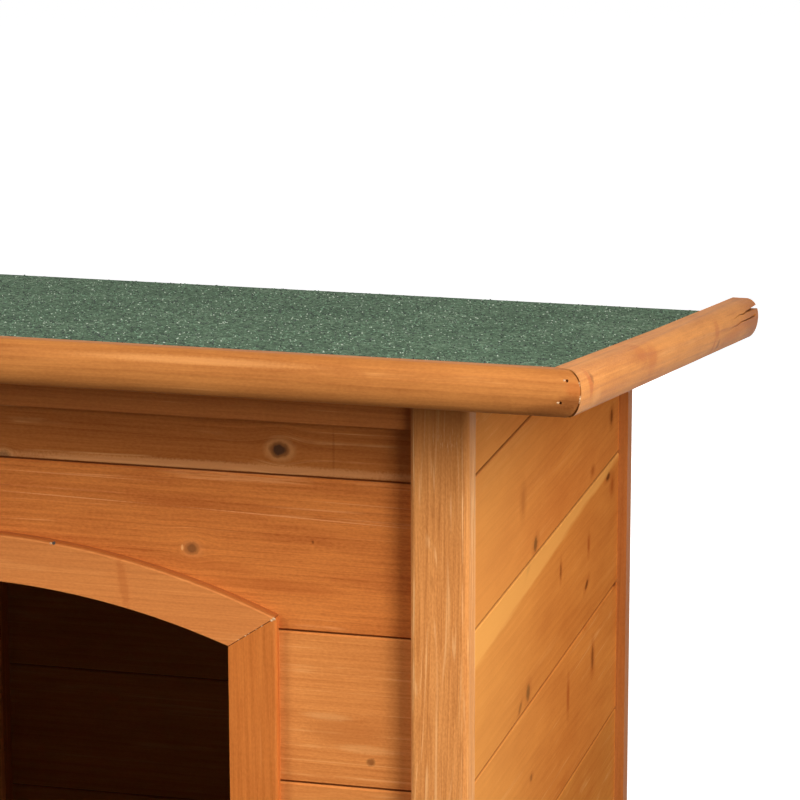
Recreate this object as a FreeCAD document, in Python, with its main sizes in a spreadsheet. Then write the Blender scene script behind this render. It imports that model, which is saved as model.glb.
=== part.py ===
"""Flat roof dog house of stained fir: tongue and groove walls on a frame of posts and battens,
an arched doorway with its surround, a loose floor, and a felted roof that opens on two rear
hinges and is held up by a slotted stay.

House frame: x = 0 at the middle of the width (+x to the right seen from the front), y = 0 at
the front faces of the front posts (+y to the rear), z = 0 at the ground. Every piece is drawn
in it and moved back by MIDDLE_Y, so that the finished part has its origin under the middle of
its box. The roof is drawn flat in its own frame, whose origin is the line where its underside
passes over y = 0, and is then tilted by the roof slope. Millimetres and degrees.
"""
import FreeCAD, Part
import Sketcher
import os
from math import atan2, degrees

V = FreeCAD.Vector

# ------------------------------------------------------------------ driving dimensions
SIZES = {
    # walls
    "wall_width": 873,          # over the outer faces of the side boards
    "side_length": 464,         # side boards, between the front and the rear posts
    "front_height": 664,        # underside of the roof above the front faces of the posts
    "slope": 8.3,               # fall of the roof to the rear
    "lid_gap": 0.3,             # between the tops of the walls and the closed roof
    # boards
    "board_t": 10,
    "board_pitch": 95,          # cover width of one tongue and groove board
    "board_base": 34,           # lower edge of the lowest course
    "joint_gap": 0.6,           # between the shoulders of two courses
    "joint_bevel": 1.1,
    "tongue_t": 3.4,
    "tongue_l": 5,
    "tongue_fit": 0.3,
    "feather": 2.5,             # thinnest end of the tapered top course
    # posts and rails
    "post_w": 35,
    "post_t": 18,
    "post_proud": 6.5,          # posts past the side boards
    "post_round": 3.5,
    "foot_t": 5,
    "foot_wall": 2,
    "foot_lip": 12,
    "foot_fit": 0.3,
    "rail_t": 10,               # front rail under the roof
    "rail_bottom": 639,
    "rail_end_gap": 1,
    "rear_rail_h": 42,
    "rear_rail_end_gap": 0.5,
    # door
    "door_x": 124.5,            # middle of the doorway, right of the middle of the house
    "door_half": 168.5,
    "arch_r": 481.5,            # inner edge of the arched head
    "door_crown": 528.5,        # its highest point above the ground
    "surround_w": 30,
    "surround_t": 5.5,
    "surround_round": 2,
    "sill_h": 30,
    "threshold_t": 6,
    "mitre_gap": 0.5,
    "cut_step": 2,              # boards are cut this far behind the edge of the surround
    # inside
    "batten": 20,               # square section of the wall battens
    "batten_base_gap": 1,       # above the floor
    "batten_top_gap": 3,        # below the roof
    "back_batten_w": 44,
    "back_batten_t": 15,
    "back_batten_x": -44,
    "bearer": 20,
    "bearer_z": 50,
    "floor_t": 10,
    "floor_boards": 5,
    "floor_gap": 2,
    "floor_fit": 1,
    # roof
    "front_overhang": 69.3,     # from the posts to the outer face of the front trim
    "rear_overhang": 61.4,      # from the rear faces of the posts to the roof's rear edge
    "side_overhang": 86,        # from the side boards to the outer face of the side trims
    "deck_t": 12,
    "felt_t": 2,
    "trim_w": 20,
    "trim_h": 27,
    "trim_drop": 3.5,           # trims below the underside of the deck
    "trim_top_r": 12,
    "trim_low_r": 10.5,
    "trim_edge_r": 1,
    "roof_batten_w": 40,
    "roof_batten_t": 18,
    "roof_batten_x": 210,
    "roof_batten_front_gap": 34,
    "roof_batten_rear_gap": 26,
    # hinges
    "hinge_x": 270,
    "hinge_length": 60,
    "hinge_leaf": 34,
    "hinge_t": 1.5,
    "knuckle_r": 3.5,
    "knuckle_gap": 0.3,
    "hinge_seat": 0.2,          # between the knuckle and the faces beside it
    "pin_r": 2,
    "pin_fit": 0.05,
    "pin_head": 0.8,
    "screw_r": 1.75,
    "screw_head_r": 3.4,
    "screw_length": 10,
    # stay
    "stay_reach": 170,          # from the hinge line to the stay's rivet, along the roof
    "stay_drop": 14,            # rivet below the underside of the roof
    "stay_angle": 14,           # between rivet and stud, seen from the hinge line, when closed
    "stay_open": 75,            # largest opening of the roof
    "stay_w": 16,
    "stay_t": 2,
    "stay_pin_r": 3,
    "stay_pin_fit": 0.05,
    "stay_slot_fit": 0.4,
    "stay_side_gap": 0.4,
    "stay_head_r": 5.5,
    "stay_head_t": 1.4,
    "stay_plate_t": 1.5,
    "stay_spacer": 1,
    "stay_plate_w": 22,
    "stay_plate_h": 36,
    "bracket_w": 26,
    "bracket_l": 44,
}

KNUCKLES = 3

doc = FreeCAD.newDocument("DogHouse")
sheet = doc.addObject("Spreadsheet::Sheet", "Sizes")
for row, (alias, size) in enumerate(SIZES.items(), start=1):
    sheet.set(f"A{row}", str(size))
    sheet.setAlias(f"A{row}", alias)
trial = doc.addObject("Spreadsheet::Sheet", "Trial")
doc.recompute()


# ------------------------------------------------------------------ expressions
def S(text):
    """Write the sheet's name before each of its aliases in a formula."""
    words = []
    word = ""
    for char in text + " ":
        if char.isalnum() or char == "_":
            word += char
            continue
        words.append(f"Sizes.{word}" if word in SIZES else word)
        words.append(char)
        word = ""
    return "".join(words).strip()


def value(text):
    """The number that a formula gives, worked out in a cell of a second sheet."""
    trial.set("A1", "=" + S(text))
    trial.recompute()
    return float(trial.get("A1"))


HALF = "(wall_width/2)"
DEPTH = "(side_length + 2*post_t)"
TAN = "tan(slope*1 deg)"
COS = "cos(slope*1 deg)"
SIN = "sin(slope*1 deg)"


def under(y, gap="lid_gap"):
    """Height of the roof's underside over y, less a gap."""
    return f"(front_height - ({y})*{TAN} - ({gap}))"


# the box of the whole part runs from the front trim's lower round to the trims' rear top edge
NOSE_Y = f"(-(front_overhang - trim_low_r)*{COS} + (trim_low_r - trim_drop)*{SIN} - trim_low_r)"
REAR_EDGE = f"({DEPTH} + rear_overhang)"
TAIL_Y = f"({REAR_EDGE}*{COS} + (trim_h - trim_drop)*{SIN})"
MIDDLE_Y = f"(({NOSE_Y} + {TAIL_Y})/2)"

# hinge line, in the roof's frame and in the house frame
HINGE_N = "(-(knuckle_r + hinge_seat))"
HINGE_Y = f"({DEPTH} + knuckle_r + hinge_seat)"
HINGE_V = f"(({HINGE_Y} - {HINGE_N}*{SIN})/{COS})"
HINGE_Z = f"(front_height - {HINGE_V}*{SIN} + {HINGE_N}*{COS})"


# ------------------------------------------------------------------ builders
NODES = {}


def place(piece, label, on_roof=False):
    """Register a piece as a node and put it in the part's frame."""
    piece.Label = label
    piece.setExpression("Placement.Base.y", S(f"-{MIDDLE_Y}"))
    if on_roof:
        piece.setExpression("Placement.Base.z", S("front_height"))
        piece.Placement = FreeCAD.Placement(V(0, 0, 0), FreeCAD.Rotation(V(1, 0, 0), -1))
        piece.setExpression("Placement.Rotation.Axis.x", "1")
        piece.setExpression("Placement.Rotation.Angle", S("-slope*1 deg"))
    NODES[label] = piece
    return piece


def new_body(name):
    return doc.addObject("PartDesign::Body", name)


def origin_plane(body, role):
    return [item for item in body.Origin.OriginFeatures if item.Role == role][0]


def start_sketch(body, role, name, offset="0"):
    """An empty sketch on one of the body's own planes, moved along the plane's normal."""
    sketch = body.newObject("Sketcher::SketchObject", name)
    sketch.AttachmentSupport = [(origin_plane(body, role), "")]
    sketch.MapMode = "FlatFace"
    sketch.setExpression("AttachmentOffset.Base.z", S(offset))
    return sketch


def tie_point(sketch, geometry, point, x, y):
    """Hold one point of a sketch at two formulas, from the sketch's origin."""
    for kind, text in (("DistanceX", x), ("DistanceY", y)):
        index = sketch.addConstraint(
            Sketcher.Constraint(kind, -1, 1, geometry, point, value(text)))
        sketch.setExpression(f"Constraints[{index}]", S(text))


def outline(body, role, name, corners, offset="0", arcs=None):
    """A closed outline. arcs maps the number of a side to the height of its arc's centre,
    and such an arc bulges upwards about the middle of its two ends."""
    arcs = arcs or {}
    sketch = start_sketch(body, role, name, offset)
    points = [V(value(x), value(y), 0) for x, y in corners]
    count = len(points)
    for side in range(count):
        a = points[side]
        b = points[(side + 1) % count]
        if side in arcs:
            centre = V((a.x + b.x)/2, value(arcs[side]), 0)
            radius = (a - centre).Length
            first, last = (a, b) if a.x > b.x else (b, a)
            circle = Part.Circle(centre, V(0, 0, 1), radius)
            angles = [atan2(end.y - centre.y, end.x - centre.x) for end in (first, last)]
            sketch.addGeometry(Part.ArcOfCircle(circle, *angles), False)
        else:
            sketch.addGeometry(Part.LineSegment(a, b), False)

    def ends(side):
        """Sketch point numbers of a side's first and last corner."""
        if side not in arcs:
            return 1, 2
        a, b = points[side], points[(side + 1) % count]
        return (1, 2) if a.x > b.x else (2, 1)

    for side in range(count):
        after = (side + 1) % count
        sketch.addConstraint(
            Sketcher.Constraint("Coincident", side, ends(side)[1], after, ends(after)[0]))
    for side, (x, y) in enumerate(corners):
        tie_point(sketch, side, ends(side)[0], x, y)
    for side, height in arcs.items():
        index = sketch.addConstraint(
            Sketcher.Constraint("DistanceY", -1, 1, side, 3, value(height)))
        sketch.setExpression(f"Constraints[{index}]", S(height))
    return sketch


def round_hole(body, role, name, x, y, radius, offset="0"):
    """A sketch of one circle."""
    sketch = start_sketch(body, role, name, offset)
    sketch.addGeometry(Part.Circle(V(value(x), value(y), 0), V(0, 0, 1), value(radius)), False)
    tie_point(sketch, 0, 3, x, y)
    index = sketch.addConstraint(Sketcher.Constraint("Radius", 0, value(radius)))
    sketch.setExpression(f"Constraints[{index}]", S(radius))
    return sketch


def pad(body, sketch, length, name="Pad", back=False):
    feature = body.newObject("PartDesign::Pad", name)
    feature.Profile = sketch
    feature.setExpression("Length", S(length))
    feature.Reversed = back
    body.Tip = feature
    return feature


def turn(body, sketch, axis_y, angle):
    """Turn a sketch about a level line of its own, as far to each side as to the other."""
    line = sketch.addGeometry(
        Part.LineSegment(V(0, value(axis_y), 0), V(10, value(axis_y), 0)), True)
    tie_point(sketch, line, 1, "0", axis_y)
    tie_point(sketch, line, 2, "10", axis_y)
    feature = body.newObject("PartDesign::Revolution", "Turn")
    feature.Profile = sketch
    feature.ReferenceAxis = (sketch, ["Axis0"])
    feature.Midplane = True
    feature.setExpression("Angle", S(angle))
    body.Tip = feature
    return feature


def pocket(body, sketch, name="Pocket"):
    """Cut right through, both ways from the sketch."""
    feature = body.newObject("PartDesign::Pocket", name)
    feature.Profile = sketch
    feature.Type = "ThroughAll"
    feature.SideType = "Symmetric"
    body.Tip = feature
    return feature


def ease_edges(body, kind, size_name, size, chosen, name):
    """Round or bevel the edges of the body's tip for which chosen(edge) is true."""
    doc.recompute()
    base = body.Tip
    names = [f"Edge{i}" for i, edge in enumerate(base.Shape.Edges, start=1) if chosen(edge)]
    if not names:
        raise RuntimeError(f"{body.Name}: no edge to ease")
    feature = body.newObject(kind, name)
    feature.Base = (base, names)
    feature.setExpression(size_name, S(size))
    body.Tip = feature
    return feature


def fillet(body, radius, chosen, name="Fillet"):
    return ease_edges(body, "PartDesign::Fillet", "Radius", radius, chosen, name)


def chamfer(body, size, chosen, name="Chamfer"):
    return ease_edges(body, "PartDesign::Chamfer", "Size", size, chosen, name)


def near(a, b):
    return abs(a - b) < 0.01


def box_piece(name, x, y, z, sizes):
    """A plain box whose low corner and sizes are formulas."""
    box = doc.addObject("Part::Box", name)
    for axis, text in zip("xyz", (x, y, z)):
        box.setExpression(f"Placement.Base.{axis}", S(text))
    for side, text in zip(("Length", "Width", "Height"), sizes):
        box.setExpression(side, S(text))
    return box


def cylinder_x(name, x, y, z, radius, length):
    """A cylinder along x whose low end's centre is a formula."""
    rod = doc.addObject("Part::Cylinder", name)
    rod.Placement = FreeCAD.Placement(V(0, 0, 0), FreeCAD.Rotation(V(0, 1, 0), 90))
    for axis, text in zip("xyz", (x, y, z)):
        rod.setExpression(f"Placement.Base.{axis}", S(text))
    rod.setExpression("Radius", S(radius))
    rod.setExpression("Height", S(length))
    return rod


def fuse(name, members):
    joined = doc.addObject("Part::MultiFuse", name)
    joined.Shapes = members
    joined.Refine = True
    return joined


def cut(name, base, tool):
    result = doc.addObject("Part::Cut", name)
    result.Base = base
    result.Tool = tool
    return result


def group(name, members):
    """Separate solids that share one node."""
    together = doc.addObject("Part::Compound", name)
    together.Links = members
    return together


# ------------------------------------------------------------------ wall boards
def course_z(course):
    return f"(board_base + {course - 1}*board_pitch)"


def board_section(face, inward, course, top=None, tongue=True, groove=True):
    """Corners of a tongue and groove section: across the wall from the outer face, and up.
    top gives the height of a cut top at a place across the wall instead of a shoulder."""
    low = course_z(course)

    def across(depth):
        return f"({face} {inward} ({depth}))"

    middle = "board_t/2"
    corners = [(across("0"), f"({low} + joint_bevel)"), (across("joint_bevel"), low)]
    if groove:
        side = "(tongue_t/2 + tongue_fit)"
        roof_of_groove = f"({low} + tongue_l + tongue_fit - joint_gap)"
        corners += [(across(f"{middle} - {side}"), low),
                    (across(f"{middle} - {side}"), roof_of_groove),
                    (across(f"{middle} + {side}"), roof_of_groove),
                    (across(f"{middle} + {side}"), low)]
    corners.append((across("board_t"), low))
    if top:
        corners += [(across("board_t"), top(across("board_t"))), (across("0"), top(across("0")))]
        return corners
    high = f"({low} + board_pitch - joint_gap)"
    corners.append((across("board_t"), high))
    if tongue:
        corners += [(across(f"{middle} + tongue_t/2"), high),
                    (across(f"{middle} + tongue_t/2"), f"({high} + tongue_l)"),
                    (across(f"{middle} - tongue_t/2"), f"({high} + tongue_l)"),
                    (across(f"{middle} - tongue_t/2"), high)]
    corners += [(across("joint_bevel"), high), (across("0"), f"({high} - joint_bevel)")]
    return corners


INNER_HALF = f"({HALF} - board_t)"
CUT_HALF = "(door_half + cut_step)"
CUT_R = "(arch_r + cut_step)"
ARCH_Z = "(door_crown - arch_r)"        # centre of the arch
SILL_Z = "(board_base + board_pitch - joint_gap)"


def springing(half, radius):
    """Height at which an arch of this radius meets a line at half its width."""
    return f"({ARCH_Z} + sqrt(({radius})^2 - ({half})^2))"


def cut_doorway(body):
    """The doorway through the boards, behind the surround."""
    left, right = f"(door_x - {CUT_HALF})", f"(door_x + {CUT_HALF})"
    top = springing(CUT_HALF, CUT_R)
    corners = [(left, SILL_Z), (right, SILL_Z), (right, top), (left, top)]
    pocket(body, outline(body, "XZ_Plane", "Doorway", corners, arcs={2: ARCH_Z}), "Door")


def long_board(label, corners, start, end):
    """A board along x with the given section."""
    body = new_body(label)
    pad(body, outline(body, "YZ_Plane", "Section", corners, offset=start), f"{end} - ({start})")
    return body


def courses(lowest_top):
    """Each course of a wall as (number, whether it is cut to the roof, whether it is the last),
    from the ground up. lowest_top is the top of the wall where the roof is lowest over it."""
    limit = value(lowest_top)
    pitch, feather = value("board_pitch"), value("feather")
    course = 1
    found = []
    while value(course_z(course)) + feather < limit:
        low = value(course_z(course))
        found.append((course, low + pitch > limit, low + pitch + feather >= limit))
        course += 1
    return found


def front_wall():
    ends = (f"(-{INNER_HALF})", INNER_HALF)
    crown = value(f"{ARCH_Z} + {CUT_R}")
    for course, to_roof, last in courses(under("(post_t + board_t)")):
        low = value(course_z(course))
        high = low + value("board_pitch")
        corners = board_section("post_t", "+", course, top=under if to_roof else None,
                                tongue=not last, groove=course > 1)
        if course == 1 or low > crown or high > crown:
            label = f"front_board_{course}"
            body = long_board(label, corners, *ends)
            if low < crown:
                cut_doorway(body)
            place(body, label)
            continue
        for side, start, end in (("left", ends[0], "door_x"), ("right", "door_x", ends[1])):
            label = f"front_board_{course}_{side}"
            body = long_board(label, corners, start, end)
            cut_doorway(body)
            place(body, label)


def back_wall():
    face = f"({DEPTH} - post_t)"
    for course, to_roof, last in courses(under(face)):
        corners = board_section(face, "-", course, top=under if to_roof else None,
                                tongue=not last, groove=course > 1)
        label = f"back_board_{course}"
        place(long_board(label, corners, f"(-{INNER_HALF})", INNER_HALF), label)


def cut_to_slope(body):
    """Take off what stands above the underside of the roof."""
    front, rear = "(post_t - 5)", f"({DEPTH} - post_t + 5)"
    above = "(front_height + board_pitch)"
    corners = [(front, under(front)), (rear, under(rear)), (rear, above), (front, above)]
    pocket(body, outline(body, "YZ_Plane", "Slope", corners), "SlopeCut")


def side_board(label, face, inward, course, last):
    """A course of a side wall, between the front and the rear posts."""
    body = new_body(label)
    corners = board_section(face, inward, course, tongue=not last, groove=course > 1)
    section = outline(body, "XZ_Plane", "Section", corners, offset="-post_t")
    pad(body, section, "side_length", back=True)
    high = value(f"{course_z(course)} + board_pitch")
    if high > value(under(f"({DEPTH} - post_t)")):
        cut_to_slope(body)
    return place(body, label)


def taper_board(label, face, inward, course):
    """A course that tapers away to the rear under the slope."""
    body = new_body(label)
    low = course_z(course)
    tip = f"((front_height - lid_gap - feather - {low})/{TAN})"
    corners = [("post_t", low), (tip, low), (tip, f"({low} + feather)"),
               ("post_t", under("post_t"))]
    start = face if inward == "+" else f"({face} - board_t)"
    pad(body, outline(body, "YZ_Plane", "Taper", corners, offset=start), "board_t")
    at, level = value(face), value(low)

    def lower_arris(edge):
        box = edge.BoundBox
        return near(box.XMin, at) and near(box.XMax, at) and near(box.ZMax, level)

    chamfer(body, "joint_bevel", lower_arris)
    return place(body, label)


def side_walls():
    rear_top = value(under(f"({DEPTH} - post_t)"))
    run = [course for course, _, _ in courses(under("post_t"))]
    tapers = [course for course in run if value(course_z(course)) + value("feather") > rear_top]
    for side, sign, inward in (("left", "-", "+"), ("right", "", "-")):
        face = f"({sign}{HALF})"
        for course in run:
            label = f"{side}_board_{course}"
            if course in tapers:
                taper_board(label, face, inward, course)
            else:
                last = course + 1 in tapers or course == run[-1]
                side_board(label, face, inward, course, last)


# ------------------------------------------------------------------ posts, rails and feet
POST_OUT = f"({HALF} + post_proud)"


def posts():
    for row, y0, y1, face in (("front", "0", "post_t", "0"),
                              ("rear", f"({DEPTH} - post_t)", DEPTH, DEPTH)):
        for side, start in (("left", f"(-{POST_OUT})"), ("right", f"({POST_OUT} - post_w)")):
            label = f"{row}_post_{side}"
            body = new_body(label)
            corners = [(y0, "foot_t"), (y1, "foot_t"), (y1, under(y1)), (y0, under(y0))]
            pad(body, outline(body, "YZ_Plane", "Profile", corners, offset=start), "post_w")
            flat = value(face)

            def long_edge_on_face(edge):
                box = edge.BoundBox
                return box.ZLength > 300 and near(box.YMin, flat) and near(box.YMax, flat)

            fillet(body, "post_round", long_edge_on_face)
            place(body, label)


def rails():
    gap = "(post_w - post_proud + rail_end_gap)"
    front, back = "(post_t - rail_t)", "post_t"
    corners = [(front, "rail_bottom"), (back, "rail_bottom"), (back, under(back)),
               (front, under(front))]
    half = f"({HALF} - {gap})"
    place(long_board("front_top_rail", corners, f"(-{half})", half), "front_top_rail")
    gap = "(post_w - post_proud + rear_rail_end_gap)"
    front, back = f"({DEPTH} - post_t)", DEPTH
    low = f"({under(back)} - rear_rail_h)"
    corners = [(front, low), (back, low), (back, under(back)), (front, under(front))]
    half = f"({HALF} - {gap})"
    place(long_board("rear_top_rail", corners, f"(-{half})", half), "rear_top_rail")


def feet():
    """A plastic cap under each post."""
    around = "(foot_wall + foot_fit)"
    caps = []
    for row, y in (("Front", "0"), ("Rear", f"({DEPTH} - post_t)")):
        for side, x in (("Left", f"(-{POST_OUT})"), ("Right", f"({POST_OUT} - post_w)")):
            outer = box_piece(f"Cap{row}{side}", f"{x} - {around}", f"{y} - {around}", "0",
                              (f"post_w + 2*{around}", f"post_t + 2*{around}",
                               "foot_t + foot_lip"))
            inner = box_piece(f"Socket{row}{side}", f"{x} - foot_fit", f"{y} - foot_fit",
                              "foot_t", ("post_w + 2*foot_fit", "post_t + 2*foot_fit",
                                         "foot_lip + 1"))
            caps.append(cut(f"Foot{row}{side}", outer, inner))
    place(group("Feet", caps), "feet")


# ------------------------------------------------------------------ door surround
def surround():
    out = "(door_half + surround_w)"
    inner_top = springing("door_half", "arch_r")
    outer_top = springing(out, "(arch_r + surround_w)")
    front = "(post_t - surround_t)"
    flat = value(front)

    def add(label, corners, on_outer_edge, arcs=None):
        body = new_body(label)
        sketch = outline(body, "XZ_Plane", "Face", corners, offset=f"-{front}", arcs=arcs)
        pad(body, sketch, "surround_t", back=True)

        def outer_front_edge(edge):
            box = edge.BoundBox
            return near(box.YMin, flat) and near(box.YMax, flat) and on_outer_edge(box)

        fillet(body, "surround_round", outer_front_edge)
        return place(body, label)

    for side, sign in (("left", -1), ("right", 1)):
        inner, outer = f"(door_x + {sign}*door_half)", f"(door_x + {sign}*{out})"
        limit = value(outer)
        corners = [(inner, SILL_Z), (outer, SILL_Z), (outer, f"({outer_top} - mitre_gap)"),
                   (inner, f"({inner_top} - mitre_gap)")]
        add(f"door_jamb_{side}", corners,
            lambda box, limit=limit: near(box.XMin, limit) and near(box.XMax, limit))

    # the arched head is turned about the arch's axis past both mitres, and then cut to them
    body = new_body("door_arch")
    rim = "(door_crown + surround_w)"
    ease = "surround_round"
    corners = [(front, "door_crown"), ("post_t", "door_crown"), ("post_t", rim),
               (f"({front} + {ease})", rim), (f"({front} + {ease}*0.3)", f"({rim} - {ease}*0.3)"),
               (front, f"({rim} - {ease})")]
    section = outline(body, "YZ_Plane", "Section", corners, offset="door_x")
    turn(body, section, ARCH_Z, f"2*asin(({out} + surround_w/4)/arch_r)")
    rise = f"({outer_top} - {inner_top})"
    for side, sign in (("Left", "-"), ("Right", "+")):
        far_x = f"(door_x {sign} ({out} + surround_w))"
        near_x, low = f"(door_x {sign} (door_half - surround_w))", f"({inner_top} - 2*surround_w)"
        corners = [(far_x, f"({outer_top} + {rise})"), (far_x, low), (near_x, low),
                   (near_x, f"({inner_top} - {rise})")]
        pocket(body, outline(body, "XZ_Plane", f"Mitre{side}", corners), f"Cut{side}")
    place(body, "door_arch")

    # strip under the doorway, with a threshold on the cut edge of the board behind it
    low = f"({SILL_Z} - sill_h)"
    corners = [(f"(door_x - {out})", low), (f"(door_x + {out})", low),
               (f"(door_x + {out})", SILL_Z), (f"(door_x - {out})", SILL_Z)]
    level = value(low)
    body = add("door_sill", corners,
               lambda box: near(box.ZMin, level) and near(box.ZMax, level))
    edge = "surround_round"
    tread = f"({SILL_Z} + threshold_t)"
    inner = "(post_t + board_t)"
    corners = [(front, SILL_Z), (inner, SILL_Z), (inner, f"({tread} - {edge})"),
               (f"({inner} - {edge})", tread), (f"({front} + {edge})", tread),
               (front, f"({tread} - {edge})")]
    section = outline(body, "YZ_Plane", "Threshold", corners, offset="(door_x - door_half)")
    pad(body, section, "2*door_half", name="ThresholdPad")


# ------------------------------------------------------------------ inside
FLOOR_Z = "(bearer_z + bearer)"
INSIDE_FRONT = "(post_t + board_t)"
INSIDE_REAR = f"({DEPTH} - post_t - board_t)"


def upright(name, x, y0, y1, width):
    """A batten from just above the floor to just below the roof, cut to the slope."""
    body = new_body(name)
    low = f"({FLOOR_Z} + floor_t + batten_base_gap)"
    corners = [(y0, low), (y1, low), (y1, under(y1, "batten_top_gap")),
               (y0, under(y0, "batten_top_gap"))]
    pad(body, outline(body, "YZ_Plane", "Profile", corners, offset=x), width)
    return body


def battens():
    front = (INSIDE_FRONT, f"({INSIDE_FRONT} + batten)")
    rear = (f"({INSIDE_REAR} - batten)", INSIDE_REAR)
    left, right = f"(-{INNER_HALF})", f"({INNER_HALF} - batten)"
    corner = [upright(f"CornerBatten{i}", x, *run, "batten")
              for i, (x, run) in enumerate(((left, front), (right, front),
                                            (left, rear), (right, rear)), start=1)]
    place(group("CornerBattens", corner), "corner_battens")
    back = (f"({INSIDE_REAR} - back_batten_t)", INSIDE_REAR)
    wall = [upright("DoorBattenLeft", f"(door_x - {CUT_HALF} - batten)", *front, "batten"),
            upright("DoorBattenRight", f"(door_x + {CUT_HALF})", *front, "batten"),
            upright("BackBatten", "(back_batten_x - back_batten_w/2)", *back, "back_batten_w")]
    place(group("WallBattens", wall), "wall_battens")


def floor():
    run = f"({INSIDE_REAR} - {INSIDE_FRONT})"
    starts = (f"(-{INNER_HALF})", "(-bearer/2)", f"({INNER_HALF} - bearer)")
    bearers = [box_piece(f"Bearer{i}", x, INSIDE_FRONT, "bearer_z", ("bearer", run, "bearer"))
               for i, x in enumerate(starts, start=1)]
    place(group("FloorBearers", bearers), "floor_bearers")
    width = f"(({run} - 2*floor_fit - (floor_boards - 1)*floor_gap)/floor_boards)"
    boards = []
    for i in range(int(value("floor_boards"))):
        y = f"{INSIDE_FRONT} + floor_fit + {i}*({width} + floor_gap)"
        boards.append(box_piece(f"FloorBoard{i + 1}", f"-{INNER_HALF} + floor_fit", y, FLOOR_Z,
                                (f"2*({INNER_HALF} - floor_fit)", width, "floor_t")))
    place(group("FloorBoards", boards), "floor_boards")


# ------------------------------------------------------------------ roof
ROOF_HALF = f"({HALF} + side_overhang)"
NOSE_V = "(-front_overhang)"
DECK_HALF = f"({ROOF_HALF} - trim_w)"
DECK_V = f"({NOSE_V} + trim_w)"


def roof_sheets():
    for label, low, thickness in (("roof_deck", "0", "deck_t"), ("roof_felt", "deck_t", "felt_t")):
        body = new_body(label)
        corners = [(f"(-{DECK_HALF})", DECK_V), (DECK_HALF, DECK_V), (DECK_HALF, REAR_EDGE),
                   (f"(-{DECK_HALF})", REAR_EDGE)]
        pad(body, outline(body, "XY_Plane", "Sheet", corners, offset=low), thickness)
        place(body, label, on_roof=True)


def trim_section(outer, inward):
    """Section of a trim: from its outer face inwards, and up."""
    low, high = "(-trim_drop)", "(trim_h - trim_drop)"
    return [(outer, low), (f"({outer} {inward} trim_w)", low),
            (f"({outer} {inward} trim_w)", high), (outer, high)]


def round_trim(body, axis, place_at):
    """Round the two outer arrises of a trim that runs along an axis."""
    low, high = value("-trim_drop"), value("trim_h - trim_drop")
    across = {"X": "Y", "Y": "X"}[axis]

    def arris(level):
        def chosen(edge):
            box = edge.BoundBox
            long_run = getattr(box, f"{axis}Length") > 200
            outer = near(getattr(box, f"{across}Min"), place_at)
            outer = outer and near(getattr(box, f"{across}Max"), place_at)
            return long_run and outer and near(box.ZMin, level)
        return chosen

    fillet(body, "trim_top_r", arris(high), "TopRound")
    fillet(body, "trim_low_r", arris(low), "LowRound")


def trims():
    body = new_body("roof_trim_front")
    section = outline(body, "YZ_Plane", "Section", trim_section(NOSE_V, "+"),
                      offset=f"(-{ROOF_HALF})")
    pad(body, section, f"2*{ROOF_HALF}")
    round_trim(body, "X", value(NOSE_V))
    for side, sign in (("Left", "-"), ("Right", "")):
        # outside the 45 degree line from the outer corner
        past = "(trim_w + 1)"
        corners = [(f"({sign}({ROOF_HALF} + 1))", f"({NOSE_V} - 1)"),
                   (f"({sign}({ROOF_HALF} + 1))", f"({NOSE_V} + {past})"),
                   (f"({sign}({ROOF_HALF} - {past}))", f"({NOSE_V} + {past})")]
        pocket(body, outline(body, "XY_Plane", f"Mitre{side}", corners), f"Cut{side}")
    place(body, "roof_trim_front", on_roof=True)

    for side, sign, inward in (("left", "-", "+"), ("right", "", "-")):
        label = f"roof_trim_{side}"
        body = new_body(label)
        section = outline(body, "XZ_Plane", "Section",
                          trim_section(f"({sign}{ROOF_HALF})", inward),
                          offset="front_overhang")
        pad(body, section, f"front_overhang + {REAR_EDGE}", back=True)
        round_trim(body, "Y", value(f"{sign}{ROOF_HALF}"))
        past = "(trim_w + 1)"
        shift = "mitre_gap"
        corners = [(f"({sign}({ROOF_HALF} + 1))", f"({NOSE_V} - 1 + {shift})"),
                   (f"({sign}({ROOF_HALF} + 1))", f"({NOSE_V} - 2)"),
                   (f"({sign}({ROOF_HALF} - {past}))", f"({NOSE_V} - 2)"),
                   (f"({sign}({ROOF_HALF} - {past}))", f"({NOSE_V} + {past} + {shift})")]
        pocket(body, outline(body, "XY_Plane", "Mitre", corners), "MitreCut")
        place(body, label, on_roof=True)


def roof_battens():
    start = f"(({INSIDE_FRONT} + roof_batten_front_gap)/{COS})"
    run = f"(({INSIDE_REAR} - roof_batten_rear_gap)/{COS} - {start})"
    strips = []
    for side, sign in (("Left", "-"), ("Right", "")):
        x = f"{sign}roof_batten_x - roof_batten_w/2"
        strips.append(box_piece(f"RoofBatten{side}", x, start, "-roof_batten_t",
                                ("roof_batten_w", run, "roof_batten_t")))
    place(group("RoofBattens", strips), "roof_battens", on_roof=True)


# ------------------------------------------------------------------ hinges
def knuckle_rings(name, x, y, z, keep):
    """The barrels of one leaf, at every second place along the pin."""
    pitch = f"(hinge_length/{KNUCKLES})"
    return [cylinder_x(f"{name}Barrel{i}", f"{x} + {i}*{pitch} + knuckle_gap/2", y, z,
                       "knuckle_r", f"{pitch} - knuckle_gap") for i in keep]


def notches(name, x, y, z, sizes, skip):
    """Room in a leaf beside the other leaf's barrels."""
    pitch = f"(hinge_length/{KNUCKLES})"
    return [box_piece(f"{name}Notch{i}", f"{x} + {i}*{pitch} - knuckle_gap/2", y, z,
                      (f"{pitch} + knuckle_gap",) + sizes) for i in skip]


def screw_spots(start):
    """Two staggered screws on a leaf: along the pin, and away from it."""
    return [(f"({start} + hinge_length*{share})", f"(hinge_leaf*{reach})")
            for share, reach in (("0.2", "0.72"), ("0.8", "0.45"))]


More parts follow.
